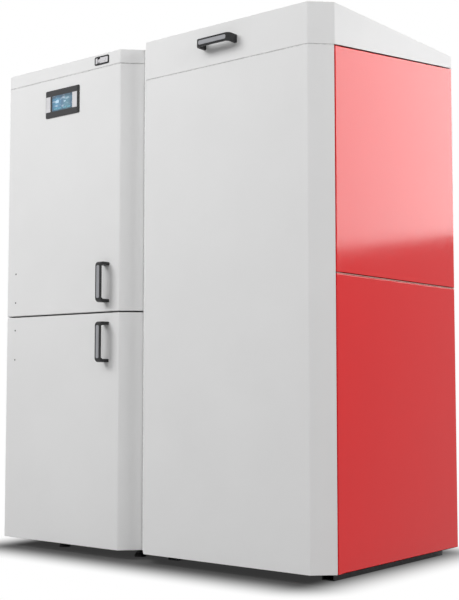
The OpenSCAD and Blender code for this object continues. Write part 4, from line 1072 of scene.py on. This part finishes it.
class BOILER_OT_screws(bpy.types.Operator):
    """Drives the screws of the rear panels"""
    bl_idname = "boiler.screws"
    bl_label = "Screws"

    def execute(self, context):
        low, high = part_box("rear_panels")
        hopper_low, hopper_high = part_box("hopper_left_panel")
        boiler_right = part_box("boiler_right_panel")[1].x
        edge = 10 * MM
        inside = edge + 2 * MM
        columns = [low.x + edge, boiler_right - inside, hopper_low.x + inside, high.x - edge]
        rows = 5
        lowest = 60 * MM
        pitch = (hopper_high.z - low.z - 200 * MM) / (rows - 1)
        first = make_screw("rear_screw", (columns[0], high.y, low.z + lowest))
        screws = [first]
        for i, x in enumerate(columns):
            for j in range(rows):
                if i or j:
                    move = (x - columns[0], 0, j * pitch)
                    screws.append(copy_piece(first, f"rear_screw_{i}_{j}", move))
        place_piece(join(screws, "rear_panel_screws"), "casing", "zinc_steel", "steel_z")
        return {"FINISHED"}


# Studio

SOFT_LIGHT = 0.24
FLOOR_SIZE = 60
# The floor's own tone in the painted shadow, and the share of light that it gives back to a
# camera and to other rays there. The camera's small share is what paints the shadow dark
PAINTED_SHADOW_TONE = 0.035
PAINTED_SHADOW_CAMERA_GAIN = 0.1
OTHER_GAIN = 0.8
# Half the size of the area in full painted shadow, and how far past it the painted shadow fades out
PAINTED_SHADOW_HALF_SIZE = (0.58, 0.375, 0)
PAINTED_SHADOW_REACH = 0.22
# Name, place, target, width, height, power, and what the lamp is there for
LAMPS = (
    ("key", (-1.8, -3.6, 3.2), (0.0, -0.38, 0.9), 2.4, 2.0, 110, "lit"),
    ("second", (0.9, -3.6, 3.3), (0.3, -0.38, 0.9), 2.0, 2.0, 28, "lit"),
    ("side", (4.2, -0.9, 1.9), (0.68, -0.2, 0.9), 1.8, 1.8, 47, "lit"),
    ("fill", (3.4, 1.2, 2.8), (0.68, 0.0, 1.0), 2.0, 2.0, 30, "lit"),
    ("rear", (-2.6, 3.4, 3.2), (0.0, 0.4, 0.9), 2.4, 2.0, 100, "lit"),
    ("card", (2.2, 2.37, 2.15), (2.35, 1.37, 2.15), 2.2, 1.7, 60, "gloss"),
)
CAMERA_PLACE = (2.3901, -2.9039, 0.5419)
# Degrees to the left and upwards, and the lens and its sensor in millimetres
CAMERA_YAW = 38.993
CAMERA_PITCH = 4.216
CAMERA_LENS = 67.93
CAMERA_SENSOR = 36


def watched(tree):
    """True for rays from the eye, straight or by way of gloss or glass."""
    rays = add_node(tree, "LightPath").outputs
    total = rays["Is Camera Ray"]
    for kind in ("Is Glossy Ray", "Is Transmission Ray"):
        total = add_node(tree, "Math", {0: total, 1: rays[kind]}, "Value", operation="MAXIMUM")
    return total


def empty_tree(owner):
    """The node tree of a material or a world, emptied."""
    owner.use_nodes = True
    owner.node_tree.nodes.clear()
    return owner.node_tree


class BOILER_OT_studio(bpy.types.Operator):
    """Sets the floor, the light and the camera"""
    bl_idname = "boiler.studio"
    bl_label = "Studio"

    def execute(self, context):
        self.lay_floor()
        self.light()
        self.aim_camera()
        return {"FINISHED"}

    def lay_floor(self):
        """A plain floor. It lights the object as pale grey. The eye sees a painted shadow under the
        boiler, dark by its distance from the footprint and only faintly lit by the lamps, which fades
        to white all round."""
        bpy.ops.object.select_all(action="DESELECT")
        bpy.ops.mesh.primitive_plane_add(size=FLOOR_SIZE)
        floor = settle("studio_floor")
        material = bpy.data.materials.new("studio_floor")
        tree = empty_tree(material)
        add = partial(add_node, tree)
        lit = add("BsdfDiffuse", {"Color": (*colours().floor, 1)}, "BSDF")
        gain = add("MapRange", {
            "Value": add("LightPath", None, "Is Camera Ray"),
            "To Min": OTHER_GAIN, "To Max": PAINTED_SHADOW_CAMERA_GAIN}, "Result")
        seen = add("BsdfDiffuse", {"Color": gain}, "BSDF")
        tone = add("Emission", {"Strength": PAINTED_SHADOW_TONE}, "Emission")
        painted_shadow = add("AddShader", {0: seen, 1: tone}, "Shader")
        white = add("Emission", {"Color": (1, 1, 1, 1)}, "Emission")
        away = add("TexCoord", None, "Object")
        for step, inputs, output in (
                ("ABSOLUTE", {}, "Vector"), ("SUBTRACT", {1: PAINTED_SHADOW_HALF_SIZE}, "Vector"),
                ("MAXIMUM", {1: (0, 0, 0)}, "Vector"), ("LENGTH", {}, "Value")):
            away = add("VectorMath", {0: away, **inputs}, output, operation=step)
        fade = add("MapRange", {"Value": away, "From Max": PAINTED_SHADOW_REACH}, "Result",
                   interpolation_type="SMOOTHSTEP")
        far = add("MixShader", {"Fac": fade, 1: painted_shadow, 2: white}, "Shader")
        both = add("MixShader", {"Fac": watched(tree), 1: lit, 2: far}, "Shader")
        add("OutputMaterial", {"Surface": both})
        floor.data.materials.append(material)

    def light(self):
        """Soft light from all round, white to the eye, and the lamps."""
        scene = bpy.context.scene
        scene.world = bpy.data.worlds.new("studio")
        tree = empty_tree(scene.world)
        soft, white = [
            add_node(tree, "Background", {"Color": (1, 1, 1, 1), "Strength": strength}, "Background")
            for strength in (SOFT_LIGHT, 1.0)
        ]
        both = add_node(tree, "MixShader", {"Fac": watched(tree), 1: soft, 2: white}, "Shader")
        add_node(tree, "OutputWorld", {"Surface": both})
        scene.view_settings.view_transform = "Standard"
        for lamp in LAMPS:
            self.lamp(*lamp)

    def lamp(self, name, place, target, width, height, power, purpose):
        """A softbox that shines at a target. It lights paint, or only shows in gloss."""
        light = bpy.data.lights.new(name, "AREA")
        light.shape = "RECTANGLE"
        light.size = width
        light.size_y = height
        light.energy = power
        obj = bpy.data.objects.new(name, light)
        obj.location = place
        obj.rotation_euler = (Vector(place) - Vector(target)).to_track_quat("Z", "Y").to_euler()
        obj.visible_camera = False
        obj.visible_diffuse = purpose == "lit"
        obj.visible_glossy = purpose == "gloss"
        bpy.context.scene.collection.objects.link(obj)

    def aim_camera(self):
        """The camera stands where the photo's stood."""
        yaw = math.radians(CAMERA_YAW)
        pitch = math.radians(CAMERA_PITCH)
        level = math.cos(pitch)
        ahead = Vector((-math.sin(yaw) * level, math.cos(yaw) * level, math.sin(pitch)))
        lens = bpy.data.cameras.new("camera")
        lens.lens = CAMERA_LENS
        lens.sensor_width = CAMERA_SENSOR
        camera = bpy.data.objects.new("camera", lens)
        camera.location = CAMERA_PLACE
        camera.rotation_euler = ahead.to_track_quat("-Z", "Y").to_euler()
        bpy.context.scene.collection.objects.link(camera)
        bpy.context.scene.camera = camera


OPERATORS = (
    BOILER_OT_finishes, BOILER_OT_doors, BOILER_OT_casing, BOILER_OT_lid, BOILER_OT_seals,
    BOILER_OT_handles, BOILER_OT_display, BOILER_OT_switches, BOILER_OT_plugs, BOILER_OT_screws,
    BOILER_OT_studio,
)


class BOILER_PT_panel(bpy.types.Panel):
    """Lists the boiler's settings and the steps that build it"""
    bl_idname = "BOILER_PT_panel"
    bl_label = "Pellet boiler"
    bl_space_type = "VIEW_3D"
    bl_region_type = "UI"
    bl_category = "Boiler"

    def draw(self, context):
        for group in (context.scene.boiler_sizes, context.scene.boiler_colours):
            box = self.layout.box()
            for key in group.__annotations__:
                box.prop(group, key)
        for operator in OPERATORS:
            self.layout.operator(operator.bl_idname)


CLASSES = (BoilerSizes, BoilerColours, *OPERATORS, BOILER_PT_panel)


def register():
    for cls in CLASSES:
        bpy.utils.register_class(cls)
    bpy.types.Scene.boiler_sizes = PointerProperty(type=BoilerSizes)
    bpy.types.Scene.boiler_colours = PointerProperty(type=BoilerColours)


def unregister():
    del bpy.types.Scene.boiler_colours
    del bpy.types.Scene.boiler_sizes
    for cls in reversed(CLASSES):
        bpy.utils.unregister_class(cls)


def main():
    register()
    for operator in OPERATORS:
        step = getattr(bpy.ops.boiler, operator.bl_idname.split(".")[1])
        if step() != {"FINISHED"}:
            raise RuntimeError(f"{operator.bl_label} did not finish")


if __name__ == "__main__":
    main()
